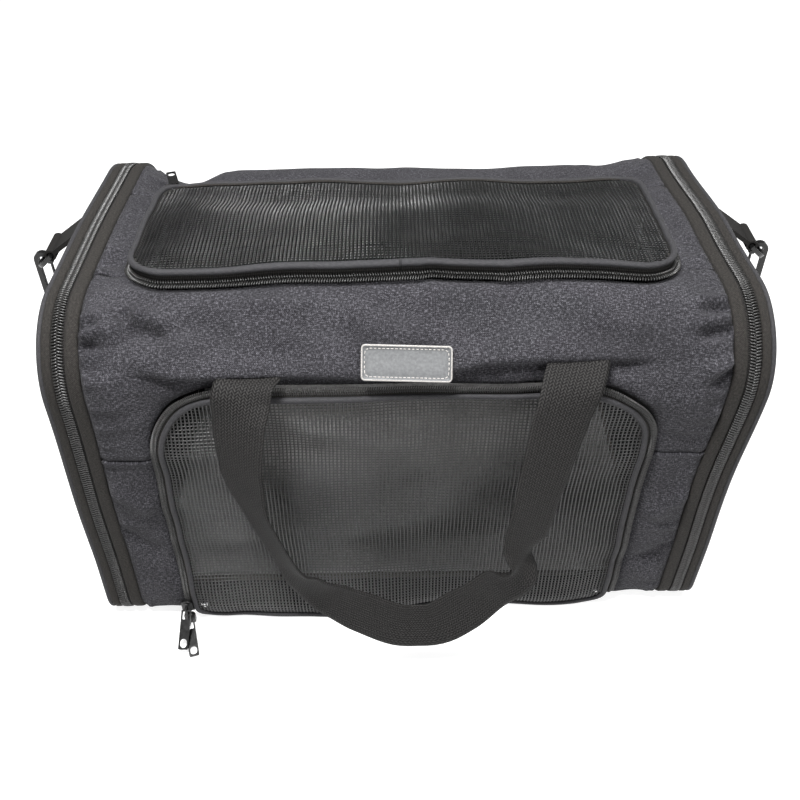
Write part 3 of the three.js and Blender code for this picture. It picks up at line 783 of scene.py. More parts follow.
def band_fabric():
    look = Look("band_fabric", 0.86, sheen=0.02, specular=0.18)
    u, v = look.split(look.cloth_uv(1.0, 1.0))
    twill = look.rib(look.math("ADD", u, v), 1.1 * MM)
    yarn = look.noise(look.cloth_uv(700, 700), detail=3.0)
    mixed = look.shares(twill, 0.35, yarn, 0.65)
    look.colour(look.ramp(mixed, (0.25, grey(12, 1)), (0.55, grey(30, 2)), (0.85, grey(58, 3))))
    return look.bump(mixed, 0.4 * MM).material


def lining():
    look = Look("lining", 0.85, specular=0.15)
    weave = plain_weave(look, 0.4 * MM)
    yarn = look.noise(look.cloth_uv(500, 500), detail=2.0)
    look.colour(look.ramp(yarn, (0.3, grey(18)), (0.7, grey(32))))
    return look.bump(weave, 0.1 * MM).material


def webbing_look(name, dark, light, warm):
    look = Look(name, 0.78, sheen=0.0, specular=0.2)
    u, v = look.split(look.cloth_uv(1.0, 1.0))
    cords = look.rib(v, 2.1 * MM)
    zigzag = look.math("PINGPONG", v, 2.1 * MM)
    picks = look.rib(look.math("ADD", u, zigzag), 2.1 * MM)
    yarn = look.noise(look.cloth_uv(420, 900), detail=3.0, roughness=0.7)
    height = look.shares(cords, 0.35, picks, 0.5)
    mixed = look.shares(height, 0.55, yarn, 0.55)
    look.colour(look.ramp(mixed, (0.40, grey(dark, warm)), (0.80, grey(light, warm))))
    return look.bump(height, 0.45 * MM).material


def piping_fabric():
    look = Look("piping", 0.72, sheen=0.03, specular=0.25)
    u, v = look.split(look.cloth_uv(1.0, 1.0))
    twist = look.rib(look.math("ADD", u, look.math("MULTIPLY", v, 0.7)), 1.0 * MM)
    yarn = look.noise(look.cloth_uv(500, 800), detail=3.0)
    mixed = look.shares(twist, 0.35, yarn, 0.65)
    look.colour(look.ramp(mixed, (0.3, (0.007, 0.007, 0.008)), (0.75, (0.036, 0.035, 0.038))))
    return look.bump(mixed, 0.25 * MM).material


def zip_tape():
    look = Look("zip_tape", 0.8, specular=0.2)
    u, v = look.split(look.cloth_uv(1.0, 1.0))
    height = look.shares(look.rib(u, 1.15 * MM), 0.6, look.rib(v, 1.6 * MM), 0.3)
    look.colour(look.ramp(height, (0.2, grey(6)), (0.9, grey(52, 2))))
    return look.bump(height, 0.4 * MM).material


def fleece():
    look = Look("pad_fleece", 0.95, sheen=0.35, specular=0.15)
    tufts = look.noise(look.solid_place(420), detail=4.0, roughness=0.7)
    patches = look.noise(look.solid_place(28), detail=2.0)
    mixed = look.shares(tufts, 0.7, patches, 0.3)
    look.colour(look.ramp(mixed, (0.3, grey(60, 1)), (0.7, grey(122, 1))))
    return look.bump(tufts, 0.9 * MM).material


def speckled(name, roughness, grain, low, high, relief=0, spread=(0.3, 0.7), detail=3.0, fine=0.5,
             gloss=None, **shader):
    """A plain material: a grain between two colours, with its relief in mm and its range of gloss."""
    look = Look(name, roughness, **shader)
    tone = look.noise(look.solid_place(grain), detail=detail, roughness=fine)
    look.colour(look.ramp(tone, (spread[0], low), (spread[1], high)))
    if gloss:
        look.rough(tone, *gloss)
    if relief:
        look.bump(tone, relief * MM)
    return look.material


def pale_plastic(name, level, warm):
    """A matt pale plastic, a fifth darker in its grain."""
    return speckled(name, 0.6, 1500, grey(level * 0.8, warm), grey(level, warm), 0.05, detail=1.0,
                    sheen=0.2, specular=0.4)


BODY = body_fabric()
BAND = band_fabric()
LINING = lining()
HANDLE = webbing_look("webbing", 0, 47, 1)
TAB = webbing_look("tab_webbing", 1, 40, 1)
PIPING = piping_fabric()
TAPE = zip_tape()
FLEECE = fleece()
MESH = speckled("mesh_thread", 0.34, 700, grey(4), grey(30), 0.06, (0.35, 0.65), 2.0, specular=0.7)
TEETH = speckled("zip_teeth", 0.36, 700, grey(14), grey(44, 1), detail=1.0, gloss=(0.32, 0.46))
BOARD = speckled("base_board", 0.75, 260, grey(36, 3), grey(62, 4), 0.15, detail=5.0, fine=0.7,
                 specular=0.3)
STEEL = speckled("steel_wire", 0.3, 500, (0.42, 0.42, 0.43), (0.6, 0.6, 0.61), gloss=(0.22, 0.4),
                 metallic=1.0)
BLACK = speckled("black_metal", 0.3, 350, grey(6), grey(20), 0.03, (0.3, 0.75), 4.0, 0.65, (0.2, 0.42),
                 metallic=0.35, specular=0.6)
RUBBER = speckled("label_rubber", 0.55, 600, grey(74, -1), grey(90, -1), 0.05, specular=0.4)
PLASTIC = speckled("buckle_plastic", 0.42, 900, grey(22), grey(34), 0.05)
PALE_THREAD = pale_plastic("pale_thread", 165, 4)
RIM_RUBBER = pale_plastic("badge_rim", 150, 3)


# ---- camera, lights and floor ----


CAMERA_PLACE = (0.001, -0.578, 0.607)
CAMERA_DOWN = math.radians(41.6)
CAMERA_ROLL = math.radians(-0.8)


def add_camera():
    data = bpy.data.cameras.new("camera")
    data.lens = 41.3
    data.sensor_width = 36.0
    camera = bpy.data.objects.new("camera", data)
    bpy.context.scene.collection.objects.link(camera)
    tilt = Matrix.Rotation(math.pi / 2 - CAMERA_DOWN, 4, "X")
    roll = Matrix.Rotation(CAMERA_ROLL, 4, "Z")
    camera.matrix_world = Matrix.Translation(CAMERA_PLACE) @ tilt @ roll
    bpy.context.scene.camera = camera


def add_softbox(name, place, target, size, power):
    data = bpy.data.lights.new(name, "AREA")
    data.shape = "RECTANGLE"
    data.size, data.size_y = size
    data.energy = power
    light = bpy.data.objects.new(name, data)
    bpy.context.scene.collection.objects.link(light)
    light.location = place
    way = Vector(target) - Vector(place)
    light.rotation_euler = way.to_track_quat("-Z", "Y").to_euler()


def add_studio():
    world = bpy.data.worlds.new("studio")
    world.use_nodes = True
    world.node_tree.nodes["Background"].inputs["Color"].default_value = (1, 1, 1, 1)
    world.node_tree.nodes["Background"].inputs["Strength"].default_value = 0.25
    bpy.context.scene.world = world
    bpy.context.scene.view_settings.view_transform = "Standard"
    add_softbox("key", (-0.22, -0.36, 1.25), (0, -0.05, 0.15), (0.3, 0.2), 34)
    add_softbox("top", (0.60, 0.00, 1.35), (0, 0, 0.2), (0.4, 0.3), 12)
    add_softbox("front", (0.8, -1.3, 1.0), (0, 0, 0.12), (0.4, 0.3), 11)

    half = 4.0
    corners = [(-half, -half, 0), (half, -half, 0), (half, half, 0), (-half, half, 0)]
    floor = new_object("studio_floor", corners, [(0, 1, 2, 3)], smooth=False)
    look = Look("studio_floor", 0.9, specular=0.1)
    look.shader.inputs["Emission Color"].default_value = (1, 1, 1, 1)
    look.shader.inputs["Emission Strength"].default_value = 0.8
    shade = look.noise(look.solid_place(3), detail=1.0)
    look.colour(look.ramp(shade, (0.0, (0.40, 0.40, 0.40)), (1.0, (0.44, 0.44, 0.44))))
    floor.data.materials.append(look.material)
    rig.stage(floor)


# ---- webbing ribbons, and the shoulder strap ----


def smooth_curve(points, count):
    """Evenly spaced points on a smooth curve through the given points."""
    ends = [2 * points[0] - points[1], *points, 2 * points[-1] - points[-2]]
    dense = []
    for p0, p1, p2, p3 in zip(ends, ends[1:], ends[2:], ends[3:]):
        for k in range(20):
            t = k / 20
            dense.append(0.5 * (2 * p1 + (p2 - p0) * t + (2 * p0 - 5 * p1 + 4 * p2 - p3) * t * t
                                + (3 * p1 - p0 - 3 * p2 + p3) * t ** 3))
    dense.append(points[-1].copy())
    lengths = [0.0]
    for a, b in zip(dense, dense[1:]):
        lengths.append(lengths[-1] + (b - a).length)
    result, k = [], 0
    for n in range(count):
        target = lengths[-1] * n / (count - 1)
        while k < len(dense) - 2 and lengths[k + 1] < target:
            k += 1
        t = (target - lengths[k]) / (lengths[k + 1] - lengths[k])
        result.append(dense[k].lerp(dense[k + 1], t))
    return result, lengths[-1]


def ribbon(name, centres, sides, width, thick, cup=0.0):
    """Flat webbing along centres; sides are the ways its width runs, cup bends it across."""
    over = []
    steps = 12
    for k in range(steps + 1):
        w = -1 + 2 * k / steps
        edge = min(1 - abs(w), 0.08) / 0.08
        over.append((w * width / 2, thick / 2 * math.sqrt(0.15 + 0.85 * edge), w))
    cross = over + [(across, -out, w) for across, out, w in reversed(over)]
    verts, uvs, along = [], [], 0.0
    last = len(centres) - 1
    for n, centre in enumerate(centres):
        tangent = (centres[min(n + 1, last)] - centres[max(n - 1, 0)]).normalized()
        side = (sides[n] - tangent * sides[n].dot(tangent)).normalized()
        face = side.cross(tangent)
        along += (centre - centres[n - 1]).length if n else 0.0
        for across, out, w in cross:
            verts.append(centre + side * across + face * (out + cup * (w * w - 0.4)))
            uvs.append((along, across + (width if out < 0 else 0)))
    count = len(cross)
    faces = strip_faces(len(centres), count, close_width=True)
    faces.append(tuple(range(count)))
    faces.append(tuple(range(last * count + count - 1, last * count - 1, -1)))
    return new_object(name, verts, faces, uvs)


def blended_ways(keys, count):
    """Unit vectors at an even spacing between (share of the way, vector) keys."""
    ways = []
    for n in range(count):
        t = n / (count - 1)
        for (ta, a), (tb, b) in zip(keys, keys[1:]):
            if t <= tb:
                break
        ways.append(Vector(a).lerp(Vector(b), ease((t - ta) / (tb - ta))).normalized())
    return ways


STRAP_WIDTH = 38 * MM
STRAP_STEPS = 150
HANDLE_WIDTH = 38 * MM
HANDLE_STEPS = 170
# half of the shoulder strap, from the right hook's loop to the adjuster behind the bag
STRAP_ROUTE = (
    (0.264, 0, 0.1805), (0.2645, 0.0015, 0.168), (0.265, 0.011, 0.146), (0.266, 0.030, 0.110),
    (0.269, 0.052, 0.072), (0.277, 0.078, 0.040), (0.291, 0.106, 0.016), (0.302, 0.138, 0.0035),
    (0.300, 0.176, 0.0014), (0.281, 0.212, 0.0014), (0.247, 0.236, 0.0014), (0.200, 0.244, 0.0014),
    (0.150, 0.240, 0.0014), (0.100, 0.235, 0.0014), (0.055, 0.237, 0.0014), (0.013, 0.240, 0.0014),
)


def add_shoulder_strap():
    for side, s in SIDES:
        route = [Vector((s * x, y, z)) for x, y, z in STRAP_ROUTE]
        centres, length = smooth_curve(route, STRAP_STEPS)
        last = STRAP_STEPS - 1
        ways = []
        for n in range(STRAP_STEPS):
            turn = ease((n / last - 0.24) / 0.16) * math.pi / 2
            ahead = centres[min(n + 1, last)] - centres[max(n - 1, 0)]
            face = Vector((s * math.cos(turn), 0, math.sin(turn)))
            ways.append(ahead.cross(face).normalized())
        strap = ribbon(f"shoulder_strap_{side}", centres, ways, STRAP_WIDTH, 1.8 * MM)
        finish_piece(strap, None, [f"{side}_strap"], "webbing", HANDLE)
        end_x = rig.box(f"{side}_snap_hook")[1 if s < 0 else 0].x
        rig.blend(strap, "bag", f"{side}_end", start=(s * 0.15, 0, 0), end=(end_x, 0, 0))
        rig.cord(strap, exit=route[0], length=length, diameter=STRAP_WIDTH, far_end="fitting",
                stiffness="limp", lay="loose", path=centres,
                with_pieces=["strap_adjuster"])


add_camera()
add_studio()
add_shoulder_strap()


# ---- the fabric body ----

# the front zip's outer edge on the skin, and the top zip's, as half, low, high and corner radii
FRONT_ZIP = (0.1685, at_front(0.003), at_front(0.228), 0.018, 0.054)
TOP_ZIP = (0.179, at_top(-0.089), at_top(DOOR_BACK_Y), 0.027, 0.024)


def front_gap(x, s):
    return rounded_gap(x, s, *FRONT_ZIP)


def top_gap(x, s):
    return rounded_gap(x, s, *TOP_ZIP)


def opening_tuck(away):
    """How far the cloth rolls in, at a distance from a zip."""
    return -2.6 * MM * math.exp(-((max(away, 0) / 0.0042) ** 2))


def add_panel(name, node, x_range, s_range, cell, gaps=(), sunk=(1, 1, 1, 1)):
    """A padded fabric panel; sunk says how deep its left, right, low and high seams are tucked."""
    (x0, x1), (s0, s1) = x_range, s_range
    points, faces = fitted_grid(x0, x1, s0, s1, cell, gaps)
    verts = []
    for x, s in points:
        seams = list(zip((x - x0, x1 - x, s - s0, s1 - s), sunk))
        tuck = -1.5 * MM * sum(deep * math.exp(-((rim / 0.0022) ** 2)) for rim, deep in seams)
        tuck += 0.5 * MM * sum(deep * hump(rim, 0.0058, 0.003) for rim, deep in seams)
        tuck += sum(opening_tuck(gap(x, s)) for gap in gaps)
        verts.append(skin(x, s, tuck))
    panel = new_object(name, verts, faces, points)
    thicken(panel, SKIN - 0.8 * MM, lined=True)
    return finish_piece(panel, "bag", [node], "body_fabric", BODY, LINING)


def add_body():
    fine, coarse = 2.1 * MM, 3.2 * MM
    whole = (-BODY_HALF, BODY_HALF)
    seam = at_front(SEAM_Z)
    add_panel("front_upper_fabric", "front_upper_panel", whole, (seam, at_top(TOP_SEAM_Y)), fine,
              (front_gap, top_gap), (1, 1, 0.7, 0.5))
    inner = 0.135
    for side, s in SIDES:
        x_range = (-BODY_HALF, -inner) if s < 0 else (inner, BODY_HALF)
        sunk = (1, 0, 0.2, -0.6) if s < 0 else (0, 1, 0.2, -0.6)
        add_panel(f"front_lower_{side}_fabric", f"front_lower_{side}_panel", x_range,
                  (at_front(0.0108), seam - 0.3 * MM), fine, (front_gap,), sunk)
        x_range = (-BODY_HALF, -0.15) if s < 0 else (0.15, BODY_HALF)
        sunk = (1, 0, 0.5, 0.5) if s < 0 else (0, 1, 0.5, 0.5)
        add_panel(f"top_{side}_fabric", f"top_{side}_panel", x_range,
                  (at_top(TOP_SEAM_Y + 0.3 * MM), at_top(DOOR_BACK_Y)), fine, (top_gap,), sunk)
    add_panel("top_back_fabric", "top_back_panel", whole,
              (at_top(DOOR_BACK_Y + 0.3 * MM), at_back(SEAM_Z - 0.6 * MM)), 2.6 * MM)
    add_panel("back_fabric", "back_panel", whole,
              (at_back(SEAM_Z - 0.3 * MM), at_back(BASE_RADIUS)), coarse)
    add_panel("bottom_fabric", "bottom_panel", whole,
              (at_back(BASE_RADIUS + 0.3 * MM) - AROUND, at_front(0.0105)), coarse,
              (front_gap,), (1, 1, 0.5, 0.3))


add_body()


# ---- zips ----

TOOTH = ((0.0, 0.24, 0.45), (0.12, 0.34, 0.85), (0.55, 0.31, 0.95), (0.84, 0.40, 1.0), (1.0, 0.20, 0.5))


def add_teeth(name, path, pitch, start, end, out, height, body, node, shift=0.0):
    """A row of coil teeth across a path, each leaning along it from start to the head at end."""
    verts, faces = [], []
    count = 6
    for x, s, nx, ns in path:
        tx, ts = ns, -nx
        grow, up = skin_axes(s)
        along = Vector((tx, 0, 0)) + grow * ts
        first = len(verts)
        for t, wide, tall in TOOTH:
            across = start + (end - start) * t
            lean = (0.45 * t + shift) * pitch
            centre = skin(x + nx * across + tx * lean, s + ns * across + ts * lean, out)
            for k in range(count):
                a = 2 * math.pi * k / count
                verts.append(centre + along * (math.cos(a) * wide * pitch)
                             + up * (math.sin(a) * tall * height))
        rings = len(TOOTH)
        faces += strip_faces(rings, count, close_width=True, first=first)
        faces.append(tuple(first + k for k in range(count - 1, -1, -1)))
        faces.append(tuple(first + (rings - 1) * count + k for k in range(count)))
    teeth = new_object(name, verts, faces)
    return finish_piece(teeth, body, [node], "zip_coil", TEETH)


FRONT_PITCH = 1.5 * MM
TOP_PITCH = 1.65 * MM
END_PITCH = 2.0 * MM


def add_front_door():
    path = rounded_path(*FRONT_ZIP, FRONT_PITCH)
    low = at_front(0.0125)
    bag_row = [p for p in path if p[1] > at_front(0.0145)]
    door_row = [p for p in path if p[1] > low]
    add_teeth("front_zip_bag_teeth", bag_row, FRONT_PITCH, 0.2 * MM, 2.7 * MM, 1.2 * MM, 0.95 * MM,
              "bag", "front_body_coil")
    add_teeth("front_zip_door_teeth", door_row, FRONT_PITCH, 4.6 * MM, 2.2 * MM, 1.2 * MM,
              0.95 * MM, "front_door", "front_door_coil", 0.5)
    smooth = rounded_path(*FRONT_ZIP, 2.2 * MM)
    flat_tape = band_profile(3.4 * MM, 6.6 * MM, -1.0 * MM, 0.9 * MM, 0.5 * MM)
    tape = sweep("front_tape", smooth, flat_tape, TAPE)
    cord = sweep("front_cord", smooth, round_profile(7.9 * MM, 1.7 * MM, 1.95 * MM), PIPING, solid=True)
    flat_hem = band_profile(8.6 * MM, 11.2 * MM, -0.9 * MM, 0.5 * MM, 0.4 * MM)
    hem = sweep("front_hem", smooth, flat_hem, TAPE)
    binding = join_objects("front_door_binding", [tape, cord, hem])
    finish_piece(binding, None, ["front_door_frame"], "piping")
    net = add_net("front_door", front_gap, FRONT_ZIP, 8.5 * MM, 2.6 * MM, front_net)
    for piece in (binding, *net):
        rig.blend(piece, "bag", "front_door", start=(0, 0, 9 * MM), end=(0, 0, 26 * MM))


def add_threshold():
    """The lining turned up behind the front door's lower edge, so the floor is not seen."""
    rows = [(-0.118, 0.0030), (-0.130, 0.0026), (-0.1345, 0.0018), (-0.1385, 0.0016)]
    columns = [-0.156 + 0.312 * k / 64 for k in range(65)]
    verts = [settle((x, y + 0.0015 * ripple(x, z, 0.03, 0.02, 31), z)) for y, z in rows for x in columns]
    strip = new_object("door_threshold", verts, strip_faces(len(rows), len(columns)),
                       [(x, y + z) for y, z in rows for x in columns])
    thicken(strip, 0.8 * MM)
    finish_piece(strip, "bag", [], "lining", LINING)


def front_net(x, s, out):
    """The front mesh is slack: it swells a little, and stands in shallow waves."""
    inside = ease(-front_gap(x, s) / 0.05)
    wave = 1.6 * ripple(x, s, 0.13, 0.1, 21) + 1.2
    return skin(x, s, out + inside * wave * MM)


def top_net(x, s, out):
    """The top mesh swells above its piping, and dips towards the back."""
    inside = ease((-top_gap(x, s) - 4 * MM) / 0.035)
    wave = 2.0 + 2.0 * ripple(x, s, 0.11, 0.05, 22) - 3.0 * hump(s, at_top(0.018), 0.035)
    return skin(x, s, out + 9.2 * MM + inside * wave * MM)


def inside_points(gap, rim, fixed, span, pitch, across):
    """Evenly spaced points of a straight line at a fixed place, where it lies inside an outline."""
    low, high = span
    count = round((high - low) / pitch)
    line = [low + (high - low) * k / count for k in range(count + 1)]
    places = [(moving, fixed) if across else (fixed, moving) for moving in line]
    return [(x, s) for x, s in places if gap(x, s) < -rim]


def add_thread(points, outs, wide, thick, place, across, verts, faces):
    """One four-sided thread of a net, through points of the cloth; outs and wide alternate along it."""
    first = len(verts)
    for n, (x, s) in enumerate(points):
        middle = place(x, s, outs[n % len(outs)])
        grow, up = skin_axes(s)
        side = (grow if across else Vector((1, 0, 0))) * wide[n % len(wide)]
        verts.extend((middle + side, middle + up * thick, middle - side, middle - up * thick))
    faces.extend(strip_faces(len(points), 4, close_width=True, first=first))


def add_threads(door, part, gap, rim, spans, pitches, across, place, outs, wide, thick):
    """Parallel threads inside an outline, as one part of a door's net.

    spans and pitches are first those of the row of threads, then those of the points along each.
    """
    (low, high), along = spans
    count = round((high - low) / pitches[0])
    verts, faces = [], []
    for i in range(count + 1):
        fixed = low + (high - low) * i / count
        points = inside_points(gap, rim, fixed, along, pitches[1], across)
        if len(points) > 2:
            add_thread(points, outs, wide, thick, place, across, verts, faces)
    threads = new_object(f"{door}_net_{part}", verts, faces)
    return finish_piece(threads, None, [f"{door}_mesh"], "mesh_fabric", MESH)


def add_net(door, gap, outline, rim, pitch, place):
    """A knitted net inside a zip: pillars that run up the cloth, and finer rungs across."""
    half, low, high = outline[:3]
    sideways, upwards = (-half, half), (low, high)
    pillars = add_threads(door, "pillars", gap, rim, (sideways, upwards), (pitch, pitch / 2), False,
                          place, (0.7 * MM, 0.0), (0.72 * MM, 0.36 * MM), 0.46 * MM)
    rungs = add_threads(door, "rungs", gap, rim, (upwards, sideways), (pitch, pitch), True,
                        place, (0.15 * MM,), (0.50 * MM,), 0.36 * MM)
    return pillars, rungs


def add_top_door():
    side_end = at_top(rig.box("top_body_coil")[1].y)
    straight = (TOP_ZIP[0], TOP_ZIP[1], side_end + 0.05, TOP_ZIP[3], 0.001)
    path = rounded_path(*straight, TOP_PITCH)
    bag_row = [p for p in path if p[1] < side_end]
    door_row = [p for p in path if p[1] < at_top(DOOR_BACK_Y) - 2 * MM]
    add_teeth("top_zip_bag_teeth", bag_row, TOP_PITCH, -4.2 * MM, -1.2 * MM, 2.4 * MM, 1.1 * MM,
              "bag", "top_body_coil")
    add_teeth("top_zip_door_teeth", door_row, TOP_PITCH, 0.9 * MM, -1.7 * MM, 3.9 * MM, 1.1 * MM,
              "top_door", "top_door_coil", 0.5)
    smooth = rounded_path(*TOP_ZIP, 2.2 * MM)
    rim = [(1.2 * MM, 2.6 * MM), (0.9 * MM, 4.6 * MM), (0.8 * MM, 6.6 * MM), (1.2 * MM, 8.6 * MM),
           (2.6 * MM, 9.8 * MM), (5.0 * MM, 9.2 * MM), (6.6 * MM, 8.4 * MM), (6.4 * MM, 7.6 * MM),
           (2.6 * MM, 8.4 * MM), (2.0 * MM, 3.2 * MM)]
    tape = sweep("top_tape", smooth, rim, TAPE, solid=True)
    cord = sweep("top_cord", smooth, round_profile(1.4 * MM, 10.2 * MM, 2.15 * MM), PIPING, solid=True)
    binding = join_objects("top_door_binding", [tape, cord])
    finish_piece(binding, None, ["top_door_frame"], "piping")
    net = add_net("top_door", top_gap, TOP_ZIP, 4.0 * MM, 2.5 * MM, top_net)
    for piece in (binding, *net):
        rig.blend(piece, "bag", "top_door", start=(0, DOOR_BACK_Y, 0), end=(0, DOOR_BACK_Y - 0.016, 0))


def add_top_hinge():
    """The cloth that joins the top door's back edge to the bag, and folds as the door opens."""
    half = TOP_ZIP[0] - 4 * MM
    back = at_top(DOOR_BACK_Y)
    rows = ((back + 9 * MM, 0.6), (back + 5 * MM, 1.0), (back + 2.5 * MM, 2.2), (back + 1.2 * MM, 5.0),
            (back + 0.6 * MM, 8.0), (back - 2 * MM, 9.8), (back - 6 * MM, 9.8))
    columns = [-half + 2 * half * k / 120 for k in range(121)]
    verts = [skin(x, s, out * MM) for s, out in rows for x in columns]
    cloth = new_object("top_door_hinge_cloth", verts, strip_faces(len(rows), len(columns)),
                       [(x, s) for s, _ in rows for x in columns])
    thicken(cloth, 1.2 * MM)
    finish_piece(cloth, None, [], "band_fabric", BAND)
    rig.blend(cloth, "bag", "top_door", start=(0, DOOR_BACK_Y + 0.006, 0), end=(0, DOOR_BACK_Y - 0.004, 0))


add_front_door()
add_threshold()
add_top_door()
add_top_hinge()


# ---- ends ----


def end_path(x, side, pitch):
    """The whole section at x as a path whose normals point out along the bag."""
    count = round(AROUND / pitch)
    path = [(x, AROUND * k / count, side, 0.0) for k in range(count)]
    return path if side < 0 else path[::-1]


def end_ring(side, bounds, base, top, material):
    """A padded ring of cloth round the bag, between two distances from its middle."""
    start, end = bounds
    path = end_path(side * start, side, 2.6 * MM)
    return sweep("ring", path, band_profile(0.0, end - start, base, top, 0.8 * MM), material)


def near_far(node):
    """A node's nearest and furthest distance from the bag's middle along X."""
    low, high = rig.box(node)
    return sorted((abs(low.x), abs(high.x)))


def add_band(node, side, body, cloth_bounds, tape_bounds):
    """A band of cloth round the bag, sewn to the zip tape beside it."""
    cloth = end_ring(side, cloth_bounds, -3.2 * MM, 0.7 * MM, BAND)
    tape = end_ring(side, tape_bounds, -3.0 * MM, -0.9 * MM, TAPE)
    finish_piece(join_objects(f"{node}_fabric", [cloth, tape]), body, [node], "band_fabric")


def add_end(name, side):
    body = f"{name}_end"
    inner = near_far(f"{name}_inner_band")
    bag_teeth = near_far(f"{name}_body_coil")
    end_teeth = near_far(f"{name}_end_coil")
    outer = near_far(f"{name}_outer_band")
    piping = near_far(f"{name}_end_piping")

    add_band(f"{name}_inner_band", side, "bag", (inner[0], inner[1] - 0.8 * MM),
             (inner[1] - 1.2 * MM, bag_teeth[1] - 0.4 * MM))
    add_band(f"{name}_outer_band", side, body, (outer[0] + 0.3 * MM, outer[1] + 0.4 * MM),
             (end_teeth[0] + 0.2 * MM, outer[0] + 0.9 * MM))

    path = end_path(side * bag_teeth[0], side, END_PITCH)
    reach = bag_teeth[1] - bag_teeth[0]
    add_teeth(f"{name}_bag_teeth", path, END_PITCH, 0.0, reach + 0.5 * MM, -0.1 * MM, 1.25 * MM,
              "bag", f"{name}_body_coil")
    path = end_path(side * end_teeth[0], side, END_PITCH)
    add_teeth(f"{name}_end_teeth", path, END_PITCH, reach, -0.5 * MM, -0.1 * MM, 1.25 * MM,
              body, f"{name}_end_coil", 0.5)

    middle = (piping[0] + piping[1]) / 2
    path = end_path(side * middle, side, 2.6 * MM)
    cord = sweep(f"{name}_end_piping_cord", path, round_profile(0, -1.2 * MM, 1.75 * MM), PIPING,
                 solid=True)
    finish_piece(cord, body, [f"{name}_end_piping"], "piping")
    hoop_x = side * sum(near_far(f"{name}_end_hoop")) / 2
    hoop = sweep(f"{name}_hoop_wire", end_path(hoop_x, side, 4 * MM),
                 round_profile(0, -5.8 * MM, 1.1 * MM, 8), STEEL, solid=True)
    finish_piece(hoop, body, [f"{name}_end_hoop"], "steel_wire")
    add_gusset(name, side)
    add_end_panel(name, side)


def add_gusset(name, side):
    """A bellows of thin cloth, folded between the bag and the end, that draws out."""
    start, end = near_far(f"{name}_end_gusset")
    pleats, steps = 4, 32

    def upright(x, s, out):
        return Vector((x, *skin(x, s, out).yz))

    profile = [(-3 * MM, -4.6 * MM)]
    for k in range(steps + 1):
        t = k / steps
        fold = 0.5 - 0.5 * math.cos(2 * math.pi * pleats * t)
        profile.append((t * (end - start), -5.5 * MM - 8 * MM * fold))
    profile.append((end - start + 7 * MM, -4.6 * MM))
    path = end_path(side * start, side, 4 * MM)
    gusset = sweep(f"{name}_gusset_cloth", path, profile, LINING, place=upright)
    finish_piece(gusset, None, [f"{name}_end_gusset"], "lining")
    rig.blend(gusset, "bag", f"{name}_end", start=(side * (start + 1 * MM), 0, 0),
             end=(side * (end - 1 * MM), 0, 0))


def add_end_panel(name, side):
    """The flat end: cloth stretched over its hoop, swelling a little, with a sewn-in rim."""
    face = near_far(f"{name}_end_panel")[1]
    low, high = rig.box(f"{name}_end_panel")
    half, bottom, top = high.y, low.z, high.z

    def outside(y, z):
        return -rounded_gap(y, z, half, bottom, top, BASE_RADIUS - SKIN, TOP_RADIUS - SKIN)

    points, faces = fitted_grid(-half, half, bottom, top, 3.2 * MM, (outside,))
    verts = []
    for y, z in points:
        rim = outside(y, z)
        swell = 4.2 * MM * ease(rim / 0.07) + 1.0 * MM * ripple(y, z, 0.06, 0.05, 30 + side)
        swell += 0.9 * MM * ripple(y, z, 0.02, 0.02, 33) * ease(1 - rim / 0.05) * ease(rim / 0.01)
        verts.append(settle((side * (face - 1.5 * MM + swell * ease(rim / 0.01)), y, z)))
    if side < 0:
        faces = [tuple(reversed(f)) for f in faces]
    panel = new_object(f"{name}_end_fabric", verts, faces, points)
    thicken(panel, 2.5 * MM, lined=True)
    finish_piece(panel, f"{name}_end", [f"{name}_end_panel"], "body_fabric", BODY, LINING)


for side_name, side_sign in SIDES:
    add_end(side_name, side_sign)


# ---- floor pad and base board ----


def cad_copy(node, name):
    """A new object with a copy of a CAD node's mesh."""
    obj = bpy.data.objects.new(name, frame["nodes"][node].data.copy())
    bpy.context.scene.collection.objects.link(obj)
    obj.data.materials.clear()
    return obj


def baked(obj):
    """The object's mesh with its modifiers applied."""
    graph = bpy.context.evaluated_depsgraph_get()
    mesh = bpy.data.meshes.new_from_object(obj.evaluated_get(graph))
    old = obj.data
    obj.modifiers.clear()
    obj.data = mesh
    bpy.data.meshes.remove(old)
    return obj


def inflate(obj, pressure, cap):
    """Cloth under pressure, with gravity off, and no point moved further than cap."""
    frames = 20
    rest = [v.co.copy() for v in obj.data.vertices]
    cloth = obj.modifiers.new("cloth", "CLOTH")
    cloth.settings.quality = 4
    cloth.settings.mass = 0.3
    cloth.settings.use_pressure = True
    cloth.settings.uniform_pressure_force = pressure
    cloth.settings.bending_stiffness = 0.8
    cloth.settings.effector_weights.gravity = 0
    for number in range(1, frames + 1):
        bpy.context.scene.frame_set(number)
    baked(obj)
    bpy.context.scene.frame_set(1)
    for vertex, start in zip(obj.data.vertices, rest):
        moved = vertex.co - start
        if moved.length > cap:
            vertex.co = start + moved * (cap / moved.length)
    return obj


